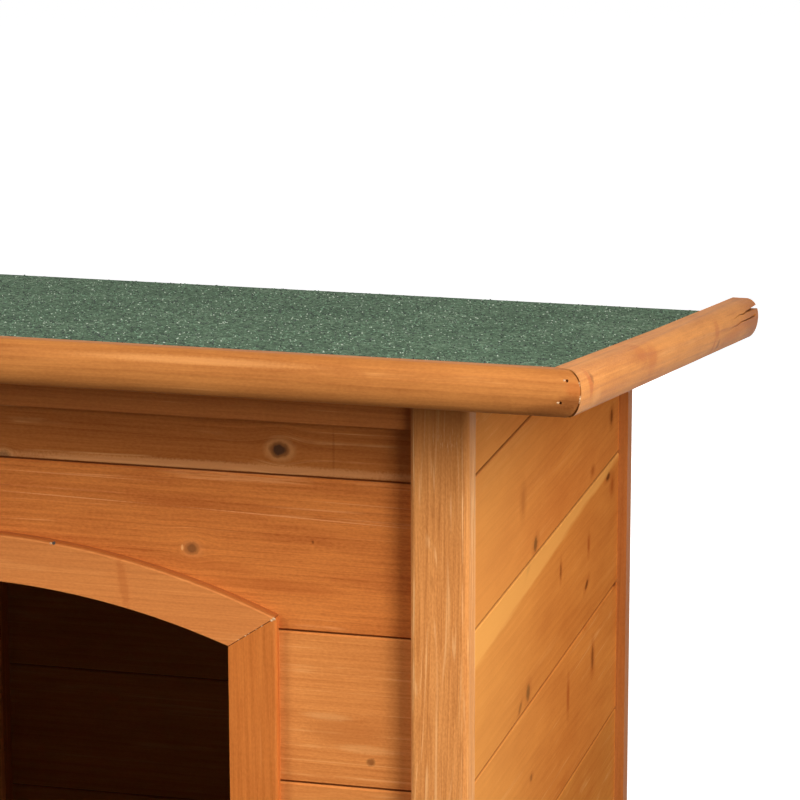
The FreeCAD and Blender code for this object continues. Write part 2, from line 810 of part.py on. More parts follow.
def hinges():
    wall_leaves, roof_leaves, pins, wall_screws, roof_screws = [], [], [], [], []
    odd = [i for i in range(KNUCKLES) if i % 2 == 0]
    even = [i for i in range(KNUCKLES) if i % 2 == 1]
    room = "(knuckle_r + knuckle_gap)"
    for side, sign in (("Left", "-"), ("Right", "")):
        x = f"({sign}hinge_x - hinge_length/2)"

        # leaf on the rear rail, in the house frame
        name = f"WallLeaf{side}"
        plate = box_piece(f"{name}Plate", x, DEPTH, f"{HINGE_Z} - hinge_leaf",
                          ("hinge_length", "hinge_t", "hinge_leaf"))
        room_cut = notches(name, x, f"{DEPTH} - 1", f"{HINGE_Z} - {room}",
                           ("hinge_t + 2", f"{room} + 1"), even)
        slotted = cut(f"{name}Slotted", plate, group(f"{name}Room", room_cut))
        barrels = knuckle_rings(name, x, HINGE_Y, HINGE_Z, odd)
        whole = fuse(f"{name}Whole", [slotted] + barrels)
        bore = cylinder_x(f"{name}Bore", f"{x} - 1", HINGE_Y, HINGE_Z, "pin_r + pin_fit",
                          "hinge_length + 2")
        tools = [bore]
        for i, (at_x, away) in enumerate(screw_spots(x), start=1):
            at_z = f"({HINGE_Z} - {away})"
            tools.append(countersink(f"{name}Sink{i}", at_x, f"({DEPTH} + hinge_t)", at_z, "y"))
            wall_screws.append(screw(f"WallScrew{side}{i}", at_x, f"({DEPTH} + hinge_t)", at_z,
                                     "y"))
        wall_leaves.append(cut(f"{name}Drilled", whole, group(f"{name}Holes", tools)))

        # leaf under the roof, in the roof's frame
        name = f"RoofLeaf{side}"
        plate = box_piece(f"{name}Plate", x, HINGE_V, "-hinge_t",
                          ("hinge_length", "hinge_leaf", "hinge_t"))
        room_cut = notches(name, x, f"{HINGE_V} - 1", "-hinge_t - 1",
                           (f"{room} + 1", "hinge_t + 2"), odd)
        slotted = cut(f"{name}Slotted", plate, group(f"{name}Room", room_cut))
        barrels = knuckle_rings(name, x, HINGE_V, HINGE_N, even)
        whole = fuse(f"{name}Whole", [slotted] + barrels)
        bore = cylinder_x(f"{name}Bore", f"{x} - 1", HINGE_V, HINGE_N, "pin_r + pin_fit",
                          "hinge_length + 2")
        tools = [bore]
        for i, (at_x, away) in enumerate(screw_spots(x), start=1):
            at_v = f"({HINGE_V} + {away})"
            tools.append(countersink(f"{name}Sink{i}", at_x, at_v, "(-hinge_t)", "z"))
            roof_screws.append(screw(f"RoofScrew{side}{i}", at_x, at_v, "(-hinge_t)", "z"))
        roof_leaves.append(cut(f"{name}Drilled", whole, group(f"{name}Holes", tools)))

        rod = cylinder_x(f"Pin{side}Rod", x, HINGE_Y, HINGE_Z, "pin_r", "hinge_length")
        heads = [cylinder_x(f"Pin{side}Head1", f"{x} - pin_head", HINGE_Y, HINGE_Z,
                            "knuckle_r", "pin_head"),
                 cylinder_x(f"Pin{side}Head2", f"{x} + hinge_length", HINGE_Y, HINGE_Z,
                            "knuckle_r", "pin_head")]
        pins.append(fuse(f"Pin{side}", [rod] + heads))
    place(group("WallLeaves", wall_leaves), "hinge_wall_leaves")
    place(group("RoofLeaves", roof_leaves), "hinge_roof_leaves", on_roof=True)
    place(group("HingePins", pins), "hinge_pins")
    place(group("WallScrews", wall_screws), "hinge_wall_screws")
    place(group("RoofScrews", roof_screws), "hinge_roof_screws", on_roof=True)


def turned(piece, direction):
    """Turn a piece drawn along +z so that it runs into the wood: -y, or +z for the roof."""
    turns = {"y": FreeCAD.Rotation(V(1, 0, 0), 90), "z": FreeCAD.Rotation()}
    piece.Placement = FreeCAD.Placement(V(0, 0, 0), turns[direction])


SINK = "(screw_head_r - screw_r)"       # depth of a 45 degree countersink


def countersink(name, x, y, z, direction):
    """The hole of a countersunk screw through a leaf, from its outer face."""
    cone = doc.addObject("Part::Cone", f"{name}Cone")
    cone.setExpression("Radius1", S("screw_head_r + pin_fit"))
    cone.setExpression("Radius2", S("screw_r + pin_fit"))
    cone.setExpression("Height", S(SINK))
    shaft = doc.addObject("Part::Cylinder", f"{name}Shaft")
    shaft.setExpression("Radius", S("screw_r + pin_fit"))
    shaft.setExpression("Height", S("hinge_t + 1"))
    for piece in (cone, shaft):
        turned(piece, direction)
        for axis, text in zip("xyz", (x, y, z)):
            piece.setExpression(f"Placement.Base.{axis}", S(text))
    return fuse(name, [cone, shaft])


def screw(name, x, y, z, direction):
    """A countersunk wood screw with its head flush with the leaf."""
    head = doc.addObject("Part::Cone", f"{name}Head")
    head.setExpression("Radius1", S("screw_head_r"))
    head.setExpression("Radius2", S("screw_r"))
    head.setExpression("Height", S(SINK))
    shank = doc.addObject("Part::Cylinder", f"{name}Shank")
    shank.setExpression("Radius", S("screw_r"))
    shank.setExpression("Height", S("screw_length"))
    for piece in (head, shank):
        turned(piece, direction)
        for axis, text in zip("xyz", (x, y, z)):
            piece.setExpression(f"Placement.Base.{axis}", S(text))
    return fuse(name, [head, shank])


# ------------------------------------------------------------------ stay
# The rivet on the roof and the stud on the wall are equally far from the hinge line, so the
# arm between them always turns half as far as the roof does.
RIVET_V = f"({HINGE_V} - stay_reach)"
RIVET_Y = f"({RIVET_V}*{COS} - stay_drop*{SIN})"
RIVET_Z = f"(front_height - {RIVET_V}*{SIN} - stay_drop*{COS})"
STAY_R = f"sqrt(({HINGE_Y} - {RIVET_Y})^2 + ({RIVET_Z} - {HINGE_Z})^2)"
ARM_X = f"({INNER_HALF} - stay_plate_t - stay_spacer - stay_t)"


def stay():
    rise = value(f"{RIVET_Z} - {HINGE_Z}")
    back = value(f"{HINGE_Y} - {RIVET_Y}")
    above = degrees(atan2(rise, back))
    stud_turn = f"({above:.9f} - stay_angle)"
    stud_y = f"({HINGE_Y} - {STAY_R}*cos({stud_turn}*1 deg))"
    stud_z = f"({HINGE_Z} + {STAY_R}*sin({stud_turn}*1 deg))"
    near_end = f"(2*{STAY_R}*sin(stay_angle/2*1 deg))"
    far_end = f"(2*{STAY_R}*sin((stay_angle + stay_open)/2*1 deg))"
    half = "(stay_w/2)"
    slot_r = "(stay_pin_r + stay_slot_fit)"

    # the arm hangs from the rivet through the stud: drawn straight down, then turned
    body = new_body("stay_arm")
    lean = f"(({above:.9f} - stay_angle/2))"
    strip = outline(body, "YZ_Plane", "Strip",
                    [(f"(-{half})", f"(-{far_end} - {half})"), (half, f"(-{far_end} - {half})"),
                     (half, half), (f"(-{half})", half)])
    pad(body, strip, "stay_t")

    def end_corner(edge):
        box = edge.BoundBox
        return near(box.XLength, value("stay_t")) and box.YLength < 0.01 and box.ZLength < 0.01

    fillet(body, "stay_w/2 - 0.05", end_corner, "Ends")
    slot = [(f"(-{slot_r})", f"(-{far_end})"), (slot_r, f"(-{far_end})"),
            (slot_r, f"(-{near_end})"), (f"(-{slot_r})", f"(-{near_end})")]
    pocket(body, outline(body, "YZ_Plane", "Slot", slot), "SlotCut")
    for name, end in (("Near", near_end), ("Far", far_end)):
        pocket(body, round_hole(body, "YZ_Plane", f"{name}Round", "0", f"(-{end})", slot_r),
               f"{name}Cut")
    pocket(body, round_hole(body, "YZ_Plane", "Eye", "0", "0", "stay_pin_r + stay_pin_fit"),
           "EyeCut")
    place(body, "stay_arm")
    body.Placement = FreeCAD.Placement(V(0, 0, 0), FreeCAD.Rotation(V(1, 0, 0), 1))
    body.setExpression("Placement.Base.x", S(ARM_X))
    body.setExpression("Placement.Base.y", S(f"{RIVET_Y} - {MIDDLE_Y}"))
    body.setExpression("Placement.Base.z", S(RIVET_Z))
    body.setExpression("Placement.Rotation.Axis.x", "1")
    body.setExpression("Placement.Rotation.Angle", S(f"-{lean}*1 deg"))

    # plate and headed stud on the right wall
    plate = box_piece("StudPlate", f"{INNER_HALF} - stay_plate_t",
                      f"{stud_y} - stay_plate_w/2", f"{stud_z} - stay_plate_h/2",
                      ("stay_plate_t", "stay_plate_w", "stay_plate_h"))
    reach = "(stay_spacer + stay_t + stay_side_gap)"
    collar = cylinder_x("StudCollar",
                        f"{INNER_HALF} - stay_plate_t - stay_spacer + stay_side_gap", stud_y,
                        stud_z, "stay_head_r", "stay_spacer - stay_side_gap")
    stem = cylinder_x("StudStem", f"{INNER_HALF} - stay_plate_t - {reach}", stud_y, stud_z,
                      "stay_pin_r", reach)
    head = cylinder_x("StudHead", f"{INNER_HALF} - stay_plate_t - {reach} - stay_head_t", stud_y,
                      stud_z, "stay_head_r", "stay_head_t")
    place(fuse("Stud", [plate, collar, stem, head]), "stay_wall_stud")

    # angle bracket and rivet under the roof, in the roof's frame
    flange_x = f"({ARM_X} - stay_side_gap - stay_plate_t)"
    low = "(-stay_drop)"
    base = box_piece("BracketBase", f"{flange_x} - bracket_w + stay_plate_t",
                     f"{RIVET_V} - bracket_l/2", "-stay_plate_t",
                     ("bracket_w", "bracket_l", "stay_plate_t"))
    flange = box_piece("BracketFlange", flange_x, f"{RIVET_V} - bracket_l/4",
                       f"{low} - stay_w/2", ("stay_plate_t", "bracket_l/2",
                                             "stay_drop + stay_w/2"))
    rivet = cylinder_x("RivetStem", flange_x, RIVET_V, low, "stay_pin_r",
                       "stay_plate_t + 2*stay_side_gap + stay_t")
    rivet_head = cylinder_x("RivetHead", f"{ARM_X} + stay_t + stay_side_gap", RIVET_V, low,
                            "stay_head_r", "stay_head_t")
    place(fuse("Bracket", [base, flange, rivet, rivet_head]), "stay_roof_bracket", on_roof=True)


# ------------------------------------------------------------------ build, check and write
front_wall()
back_wall()
side_walls()
posts()
rails()
feet()
surround()
battens()
floor()
roof_sheets()
trims()
roof_battens()
hinges()
stay()
doc.recompute()

for item in doc.Objects:
    if "Invalid" in item.State or "Error" in item.State:
        raise RuntimeError(f"{item.Name} failed: {item.State}")
for label, piece in NODES.items():
    if piece.Shape.isNull() or not piece.Shape.isValid() or not piece.Shape.Solids:
        raise RuntimeError(f"{label} has no valid solid")

os.makedirs("parts", exist_ok=True)
for label, piece in NODES.items():
    piece.Shape.exportStep(f"parts/{label}.step")

print(f"{len(NODES)} nodes, {sum(len(p.Shape.Solids) for p in NODES.values())} solids")
print(f"hinge line y {value(f'{HINGE_Y} - {MIDDLE_Y}'):.3f} z {value(HINGE_Z):.3f}")
print(f"rivet y {value(f'{RIVET_Y} - {MIDDLE_Y}'):.3f} z {value(RIVET_Z):.3f}")
print(f"front face of the posts at y {value(f'-{MIDDLE_Y}'):.3f}")
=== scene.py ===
"""Looks of the dog house: stained fir boards, mineral felt, zinc hinges and plastic feet,
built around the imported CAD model. Metres, in the model's own frame."""
import math
import random

import bmesh
import bpy
from mathutils import Matrix, Vector, noise


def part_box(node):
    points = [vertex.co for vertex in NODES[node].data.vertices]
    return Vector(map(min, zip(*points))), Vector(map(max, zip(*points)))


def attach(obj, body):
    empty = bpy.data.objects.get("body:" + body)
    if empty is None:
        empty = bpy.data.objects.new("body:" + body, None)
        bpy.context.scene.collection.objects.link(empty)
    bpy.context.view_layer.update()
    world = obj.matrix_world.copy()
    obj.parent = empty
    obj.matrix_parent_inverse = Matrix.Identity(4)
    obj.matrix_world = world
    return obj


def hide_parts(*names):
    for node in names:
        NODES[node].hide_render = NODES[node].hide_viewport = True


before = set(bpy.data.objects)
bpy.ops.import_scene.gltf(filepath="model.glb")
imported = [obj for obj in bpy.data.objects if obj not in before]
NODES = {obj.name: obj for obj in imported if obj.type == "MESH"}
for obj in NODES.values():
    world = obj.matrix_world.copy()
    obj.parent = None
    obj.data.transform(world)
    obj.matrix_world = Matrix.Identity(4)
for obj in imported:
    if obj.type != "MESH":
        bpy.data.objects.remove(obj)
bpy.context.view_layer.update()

# ------------------------------------------------------------------ places taken from the model
MM = 0.001
RIGHT_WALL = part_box("right_board_2")[1].x       # outer face of the right wall
POST_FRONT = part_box("front_post_right")[0].y    # front faces of the front posts
COURSE_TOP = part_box("right_board_7")[0].z       # joint under the top course
COURSE = COURSE_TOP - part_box("right_board_6")[0].z
ROOF_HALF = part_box("roof_trim_right")[1].x
TRIM_WIDTH = ROOF_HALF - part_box("roof_trim_right")[0].x
INSIDE_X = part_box("corner_battens")[1].x
INSIDE_FRONT, INSIDE_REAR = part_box("floor_bearers")[0].y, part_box("floor_bearers")[1].y
SLOPE = math.radians(8.3)
FRONT_HEIGHT = 0.664                            # underside of the deck over the posts' fronts
# the roof's own frame: across, down the slope from the posts' front faces, and up from the deck
ROOF_FRAME = Matrix.Translation((0, POST_FRONT, FRONT_HEIGHT)) @ Matrix.Rotation(-SLOPE, 4, "X")
NOSE, TAIL = -69.3*MM, 561.4*MM                 # front and rear ends of the roof down the slope
TRIM_LOW, TRIM_HIGH = -3.5*MM, 23.1*MM
# the trims' two quarter ovals, over and under their foremost line: depth and height
ROUND_HIGH, ROUND_LOW = (9.5*MM, 12.1*MM), (9.0*MM, 14.5*MM)
TRIM_MIDDLE = TRIM_LOW + ROUND_LOW[1]
FELT_TOP = 14*MM                                # over the underside of the deck
ARCH_CENTRE = 0.047                             # height of the arch's axis
ARCH_NAIL = 59*MM                               # the arch's nails, either side of its middle


# ------------------------------------------------------------------ camera
YAW, PITCH, ROLL = -0.2544, 0.2396, -0.0021     # radians
LENS, SENSOR = 165.35, 36                       # mm
# from the right wall, the posts' front faces and the top course's joint
EYE = (0.48269, -1.98718, 0.55606)


def camera():
    """The photograph's view: from the front, a little right and above, with a long lens."""
    yaw, pitch, roll = YAW, PITCH, ROLL
    forward = Vector((math.sin(yaw)*math.cos(pitch), math.cos(yaw)*math.cos(pitch),
                      -math.sin(pitch)))
    right = Vector((math.cos(yaw), -math.sin(yaw), 0))
    up = right.cross(forward)
    side = math.cos(roll)*right + math.sin(roll)*up
    top = -math.sin(roll)*right + math.cos(roll)*up
    data = bpy.data.cameras.new("camera")
    data.lens, data.sensor_width = LENS, SENSOR
    data.clip_start, data.clip_end = 0.05, 60
    eye = bpy.data.objects.new("camera", data)
    bpy.context.scene.collection.objects.link(eye)
    turn = Matrix((side, top, -forward)).transposed().to_4x4()
    spot = Vector((RIGHT_WALL + EYE[0], POST_FRONT + EYE[1], COURSE_TOP + EYE[2]))
    eye.matrix_world = Matrix.Translation(spot) @ turn
    bpy.context.scene.camera = eye


# ------------------------------------------------------------------ node shorthand
class Graph:
    """Short calls for wiring a node tree."""

    def __init__(self, tree):
        self.tree = tree

    def feed(self, socket, source):
        if isinstance(source, bpy.types.Node):
            source = source.outputs[0]
        if isinstance(source, bpy.types.NodeSocket):
            self.tree.links.new(source, socket)
        else:
            socket.default_value = source

    def node(self, kind, inputs=None, **settings):
        made = self.tree.nodes.new(("" if kind.startswith("NodeGroup") else "ShaderNode") + kind)
        for name, setting in settings.items():
            setattr(made, name, setting)
        for key, source in (inputs or {}).items():
            self.feed(made.inputs[key], source)
        return made

    def math(self, operation, a, b=0.0, c=0.0):
        made = self.node("Math", operation=operation)
        for socket, source in zip(made.inputs, (a, b, c)):
            self.feed(socket, source)
        return made.outputs[0]

    def add(self, a, b):
        return self.math("ADD", a, b)

    def sub(self, a, b):
        return self.math("SUBTRACT", a, b)

    def mul(self, a, b):
        return self.math("MULTIPLY", a, b)

    def step(self, x, low, high, to_low=0.0, to_high=1.0):
        """Smooth change of x's range low..high into to_low..to_high."""
        made = self.node("MapRange", {0: x, 1: low, 2: high, 3: to_low, 4: to_high},
                         interpolation_type="SMOOTHSTEP")
        return made.outputs[0]

    def vec(self, operation, a, b=(0, 0, 0)):
        made = self.node("VectorMath", {0: a, 1: b}, operation=operation)
        return made.outputs["Value" if operation in ("LENGTH", "DOT_PRODUCT") else 0]

    def scale(self, a, factor):
        made = self.node("VectorMath", {0: a, "Scale": factor}, operation="SCALE")
        return made.outputs[0]

    def split(self, a):
        return self.node("SeparateXYZ", {0: a}).outputs

    def join(self, x, y, z):
        return self.node("CombineXYZ", {0: x, 1: y, 2: z}).outputs[0]

    def noise(self, where, scale=1.0, detail=2.0, rough=0.5, out=0):
        made = self.node("TexNoise", {"Vector": where, "Scale": scale, "Detail": detail,
                                      "Roughness": rough})
        return made.outputs[out]

    def blend(self, share, a, b, mode="MIX"):
        made = self.node("Mix", data_type="RGBA", blend_type=mode)
        self.feed(made.inputs[0], share)
        self.feed(made.inputs[6], a)
        self.feed(made.inputs[7], b)
        return made.outputs[2]

    def ramp(self, x, stops, interpolation="LINEAR"):
        made = self.node("ValToRGB", {0: x})
        made.color_ramp.interpolation = interpolation
        elements = made.color_ramp.elements
        while len(elements) > 1:
            elements.remove(elements[-1])
        elements[0].position = stops[0][0]
        for place, _ in stops[1:]:
            elements.new(place)
        for element, (_, shade) in zip(elements, stops):
            element.color = (shade, shade, shade, 1) if isinstance(shade, float) else shade
        return made.outputs[0]


def srgb(red, green, blue):
    """A colour given as 0 to 255 display values, as linear RGBA."""
    def linear(part):
        part = part/255
        return part/12.92 if part <= 0.04045 else ((part + 0.055)/1.055)**2.4
    return (linear(red), linear(green), linear(blue), 1.0)


def new_material(name):
    made = bpy.data.materials.new(name)
    made.use_nodes = True
    made.node_tree.nodes.clear()
    graph = Graph(made.node_tree)
    shader = graph.node("BsdfPrincipled")
    out = graph.node("OutputMaterial")
    made.node_tree.links.new(shader.outputs[0], out.inputs["Surface"])
    return made, graph, shader


# ------------------------------------------------------------------ wood
def timber_group():
    """Solid sawn fir. Point is metres along the grain, across the face and into the piece."""
    tree = bpy.data.node_groups.new("Timber", "ShaderNodeTree")
    for name, kind in (("Point", "Vector"), ("Seed", "Float"), ("Spacing", "Float"),
                       ("Dark", "Color"), ("Light", "Color"), ("Pale", "Color"),
                       ("Contrast", "Float"), ("Threads", "Float"), ("Cloud", "Float")):
        tree.interface.new_socket(name, in_out="INPUT", socket_type="NodeSocket" + kind)
    for name, kind in (("Color", "Color"), ("Height", "Float"), ("Rough", "Float")):
        tree.interface.new_socket(name, in_out="OUTPUT", socket_type="NodeSocket" + kind)
    g = Graph(tree)
    source = g.node("NodeGroupInput").outputs
    seed = source["Seed"]
    shift = g.join(g.mul(seed, 7.31), g.mul(seed, 3.17), g.mul(seed, 1.93))
    point = g.vec("ADD", source["Point"], shift)
    spread = g.vec("MULTIPLY", point, (1.4, 7, 7))
    wander = g.vec("SUBTRACT", g.noise(spread, 1, 2, 0.5, "Color"), (0.5, 0.5, 0.5))
    along, across, into = g.split(source["Point"])
    dice = g.node("TexWhiteNoise", {"W": seed}, noise_dimensions="1D").outputs["Color"]
    dice_x, dice_y, dice_z = g.split(dice)
    wander_x, wander_y, wander_z = g.split(wander)
    # distance from the middle of the tree, which lies behind the face
    off_u = g.mul(g.sub(dice_x, 0.5), 0.16)
    off_v = g.add(g.mul(dice_y, 0.09), 0.035)
    lean = g.mul(g.mul(g.sub(dice_z, 0.5), 0.05), along)
    ring_u = g.add(g.add(across, off_u), g.add(g.mul(wander_y, 0.02), lean))
    ring_v = g.add(g.add(into, off_v), g.mul(wander_z, 0.016))
    radius = g.vec("LENGTH", g.join(ring_u, ring_v, 0.0))
    phase = g.add(g.math("DIVIDE", radius, source["Spacing"]), g.mul(wander_x, 0.9))
    turn = g.math("FRACT", phase)
    late = g.ramp(turn, [(0.0, 0.10), (0.45, 0.12), (0.8, 0.75), (0.92, 1.0), (1.0, 0.12)],
                  "EASE")
    year = g.node("TexWhiteNoise", {"W": g.math("FLOOR", phase)}, noise_dimensions="1D")
    late = g.mul(late, g.add(g.mul(year.outputs["Value"], 0.75), 0.25))
    # fibres drawn out along the grain, and clouds of thicker and thinner stain
    bowed = g.vec("ADD", point, g.vec("MULTIPLY", wander, (0, 0.012, 0.012)))
    fibre = g.noise(g.vec("MULTIPLY", bowed, (24, 1000, 1000)), 1, 3, 0.65)
    thread = g.noise(g.vec("MULTIPLY", bowed, (6, 330, 330)), 1, 2, 0.55)
    broad = g.noise(g.vec("MULTIPLY", point, (2.6, 17, 17)), 1, 3, 0.55)
    patch = g.noise(g.vec("MULTIPLY", point, (13, 48, 48)), 1, 3, 0.6)
    contour = g.noise(g.vec("MULTIPLY", bowed, (1.1, 95, 95)), 1, 1, 0.4)
    line = g.step(g.math("ABSOLUTE", g.sub(contour, 0.5)), 0.03, 0.004)
    pale = g.mul(g.mul(line, g.step(patch, 0.44, 0.62)), g.step(fibre, 0.35, 0.55))
    tone = g.add(0.5, g.mul(g.sub(0.3, late), 0.28))
    tone = g.add(tone, g.mul(g.sub(broad, 0.5), g.mul(source["Cloud"], 0.7)))
    tone = g.add(tone, g.mul(g.sub(patch, 0.5), g.mul(source["Cloud"], 0.6)))
    tone = g.add(tone, g.mul(g.sub(thread, 0.5), 0.6))
    tone = g.add(tone, g.mul(g.sub(fibre, 0.5), 0.7))
    grit = g.noise(g.vec("MULTIPLY", point, (420, 900, 900)), 1, 1, 0.5)
    tone = g.add(tone, g.mul(g.sub(grit, 0.5), 0.55))
    tone = g.add(g.mul(g.sub(tone, 0.5), source["Contrast"]), 0.5)
    tone = g.math("MAXIMUM", g.math("MINIMUM", tone, 1.0), 0.0)
    colour = g.blend(tone, source["Dark"], source["Light"])
    colour = g.blend(g.mul(pale, source["Threads"]), colour, source["Pale"])
    height = g.add(g.mul(fibre, 0.6), g.add(g.mul(thread, 0.35), g.mul(late, 0.3)))
    rough = g.add(0.5, g.add(g.mul(fibre, 0.12), g.mul(late, -0.05)))
    target = g.node("NodeGroupOutput")
    for name, socket in (("Color", colour), ("Height", height), ("Rough", rough)):
        g.feed(target.inputs[name], socket)
    return tree


TIMBER = timber_group()


def grain_point(g, run):
    """Object coordinates turned to along, across and into for a grain direction."""
    where = g.node("TexCoord").outputs["Object"]
    if run == "roof":
        where = g.node("VectorRotate", {"Vector": where, "Center": ROOF_FRAME.translation,
                                        "Angle": SLOPE}, rotation_type="X_AXIS").outputs[0]
        run = "y"
    x, y, z = g.split(where)
    return {"x": lambda: g.join(x, z, y), "y": lambda: g.join(y, z, x),
            "z": lambda: g.join(z, x, y)}[run]()


def face_point(g, face):
    """The photograph's measure on a face, in mm: along it, and above the top course's joint."""
    x, y, z = g.split(g.node("TexCoord").outputs["Object"])
    level = g.mul(g.sub(z, COURSE_TOP), 1000)
    if face == "front":
        return g.join(g.mul(g.sub(x, RIGHT_WALL), 1000), level, 0.0)
    return g.join(g.mul(g.sub(y, POST_FRONT), 1000), level, 0.0)


def stroke(g, where, centre, half, tilt=0, soft=0.9, ragged=0.9):
    """1 inside a long oval mark on a face and 0 outside it, with an uneven edge."""
    offset = g.vec("SUBTRACT", where, (centre[0], centre[1], 0))
    if tilt:
        turned = g.node("VectorRotate", {"Vector": offset, "Angle": -math.radians(tilt)},
                        rotation_type="Z_AXIS")
        offset = turned.outputs[0]
    reach = g.vec("LENGTH", g.vec("MULTIPLY", offset, (1/half[0], 1/half[1], 0)))
    reach = g.add(reach, g.mul(g.sub(g.noise(where, 0.6, 2), 0.5), ragged))
    return g.step(reach, 1 + soft/2, 1 - soft/2)


def wood(name, run, seed, light, dark, pale=None, contrast=1.0, threads=0.35, cloud=1.0,
         spacing=0.0042, knots=(), face=None, marks=(), finish=None, gloss=0.05):
    """A stained board. knots are (along, across, radius, darkness) in grain coordinates, marks
    are (centre, half size, tilt, colour, strength) on a face, and finish adds to the colour."""
    made, g, shader = new_material(name)
    point = grain_point(g, run)
    cores = []
    for along, across, radius, strength in knots:
        offset = g.vec("MULTIPLY", g.vec("SUBTRACT", point, (along, across, 0)), (0.8, 1, 0))
        reach = g.vec("LENGTH", offset)
        swell = g.math("EXPONENT", g.mul(g.mul(reach, reach), -1/(2.4*radius)**2))
        bent = g.vec("MULTIPLY", g.scale(offset, g.mul(swell, -0.8)), (0, 1, 0))
        point = g.vec("ADD", point, bent)
        cores.append((reach, radius, strength))
    timber = g.node("Group", node_tree=TIMBER)
    for key, source in (("Point", point), ("Seed", float(seed)), ("Spacing", spacing),
                        ("Dark", dark), ("Light", light), ("Pale", pale or light),
                        ("Contrast", contrast), ("Threads", threads), ("Cloud", cloud)):
        g.feed(timber.inputs[key], source)
    colour, height, rough = timber.outputs[0], timber.outputs[1], timber.outputs[2]
    for reach, radius, strength in cores:
        jitter = g.noise(g.scale(point, 1/radius), 1.3, 2, 0.6)
        edge = g.add(reach, g.mul(g.sub(jitter, 0.5), radius*0.5))
        halo = g.step(edge, radius*2.1, radius*1.1)
        colour = g.blend(g.mul(halo, 0.3*strength), colour, pale or light)
        collar = g.step(edge, radius*1.35, radius*0.95)
        colour = g.blend(g.mul(collar, 0.75*strength), colour, srgb(112, 60, 26))
        heart = g.step(edge, radius*0.95, radius*0.55)
        colour = g.blend(g.mul(heart, 0.85*strength), colour, srgb(58, 38, 26))
    if marks:
        where = face_point(g, face)
        for centre, half, tilt, tint, strength in marks:
            colour = g.blend(g.mul(stroke(g, where, centre, half, tilt), strength), colour, tint)
    if finish:
        colour = finish(g, colour)
    g.feed(shader.inputs["Base Color"], colour)
    g.feed(shader.inputs["Roughness"], rough)
    shader.inputs["Specular IOR Level"].default_value = gloss
    bump = g.node("Bump", {"Height": height, "Strength": 0.3, "Distance": 0.0004})
    g.feed(shader.inputs["Normal"], bump.outputs[0])
    return made


def dress(node, material):
    """Put a material on a CAD node."""
    slots = NODES[node].material_slots
    for slot in slots:
        slot.material = material
    if not slots:
        NODES[node].data.materials.append(material)


HONEY = srgb(222, 142, 74)
AMBER = srgb(188, 106, 48)
CREAM = srgb(236, 172, 106)
RESIN = srgb(104, 50, 20)
UMBER = srgb(88, 44, 20)
RUSSET = srgb(172, 84, 34)
JOINT_FRONT, JOINT_SIDE = 0.9*MM, 1.7*MM        # half width of the stain in a joint
# the tone on the inner faces is painted shade
INNER_FADE = (0.6*MM, 0.2*MM)                   # where the inner faces' tone starts and ends
# painted light on the side boards: none at the first depth, full at the second
PAINTED_LIGHT_SPAN = (330, 20)                              # mm behind the posts' front faces
# upper edge of the sapwood in mm: height, where it has that height, rise, and softness
SAP_TOP, SAP_START, SAP_RISE, SAP_SOFT = -119, 48, 0.045, 2.5


def joints(g, colour, reach):
    """Stain gathers in the joints between the courses."""
    height = g.split(g.node("TexCoord").outputs["Object"])[2]
    level = g.add(g.sub(height, COURSE_TOP), COURSE/2)
    offset = g.sub(g.math("FLOORED_MODULO", level, COURSE), COURSE/2)
    joint = g.step(g.math("ABSOLUTE", offset), reach, reach*0.35)
    return g.blend(g.mul(joint, 0.7), colour, RESIN)


def shaded_inside(g, colour, reach=JOINT_FRONT):
    """Painted shade: the inner faces of the walls are made duller and darker, for the dark inside
    of the house.
    """
    x, y, _ = g.split(g.node("TexCoord").outputs["Object"])
    start, end = INNER_FADE
    side = g.step(g.math("ABSOLUTE", x), INSIDE_X + start, INSIDE_X + end)
    front = g.step(y, INSIDE_FRONT - start, INSIDE_FRONT - end)
    rear = g.step(y, INSIDE_REAR + start, INSIDE_REAR + end)
    within = g.mul(side, g.mul(front, rear))
    colour = joints(g, colour, reach)
    # painted shade on the inner faces
    return g.blend(g.mul(within, 0.95), colour, srgb(182, 210, 240), "MULTIPLY")


def painted_light_toward_front(g, colour):
    """Painted light: the side boards are paler and more golden toward the front post, where the
    lamps fall stronger.
    """
    depth = g.split(face_point(g, "right"))[0]
    near = g.step(depth, *PAINTED_LIGHT_SPAN)
    # painted light toward the front post
    colour = g.blend(g.mul(near, 0.4), colour, srgb(245, 175, 92))
    return shaded_inside(g, colour, JOINT_SIDE)


# marks on the right wall: distance behind the posts' front faces and height over the top joint
# in mm, half length down the grain and half height, tilt, colour and strength
PIN_KNOTS = (
    ((174, -50), (4.5, 7), 0, RUSSET, 0.55), ((211, -88), (5, 4.2), 20, UMBER, 0.8),
    ((191, -98), (6, 2.5), 25, UMBER, 0.8), ((380, -135), (2.6, 5), 0, RUSSET, 0.8),
    ((289, -128), (2.2, 5), 0, RESIN, 0.55), ((374, -162), (5, 2.2), 20, UMBER, 0.75),
    ((475, -190), (5, 1.8), 0, UMBER, 0.8), ((371, -186), (4, 3.5), 0, RUSSET, 0.5),
    ((445, -104), (6, 2.4), 0, UMBER, 0.8), ((460, -114), (4, 5), 0, RUSSET, 0.7),
    ((391, -86), (4, 2.5), 0, RUSSET, 0.6), ((455, -63), (4, 5), 0, RESIN, 0.7),
    ((192, -181), (5, 5), 30, UMBER, 0.8), ((169, -184), (5, 2.2), 30, RESIN, 0.7),
    ((397, -221), (3.5, 8), 0, RESIN, 0.6), ((316, -223), (2.4, 9), 0, RUSSET, 0.75),
    ((203, -242), (3, 2.2), 0, RESIN, 0.6),
)


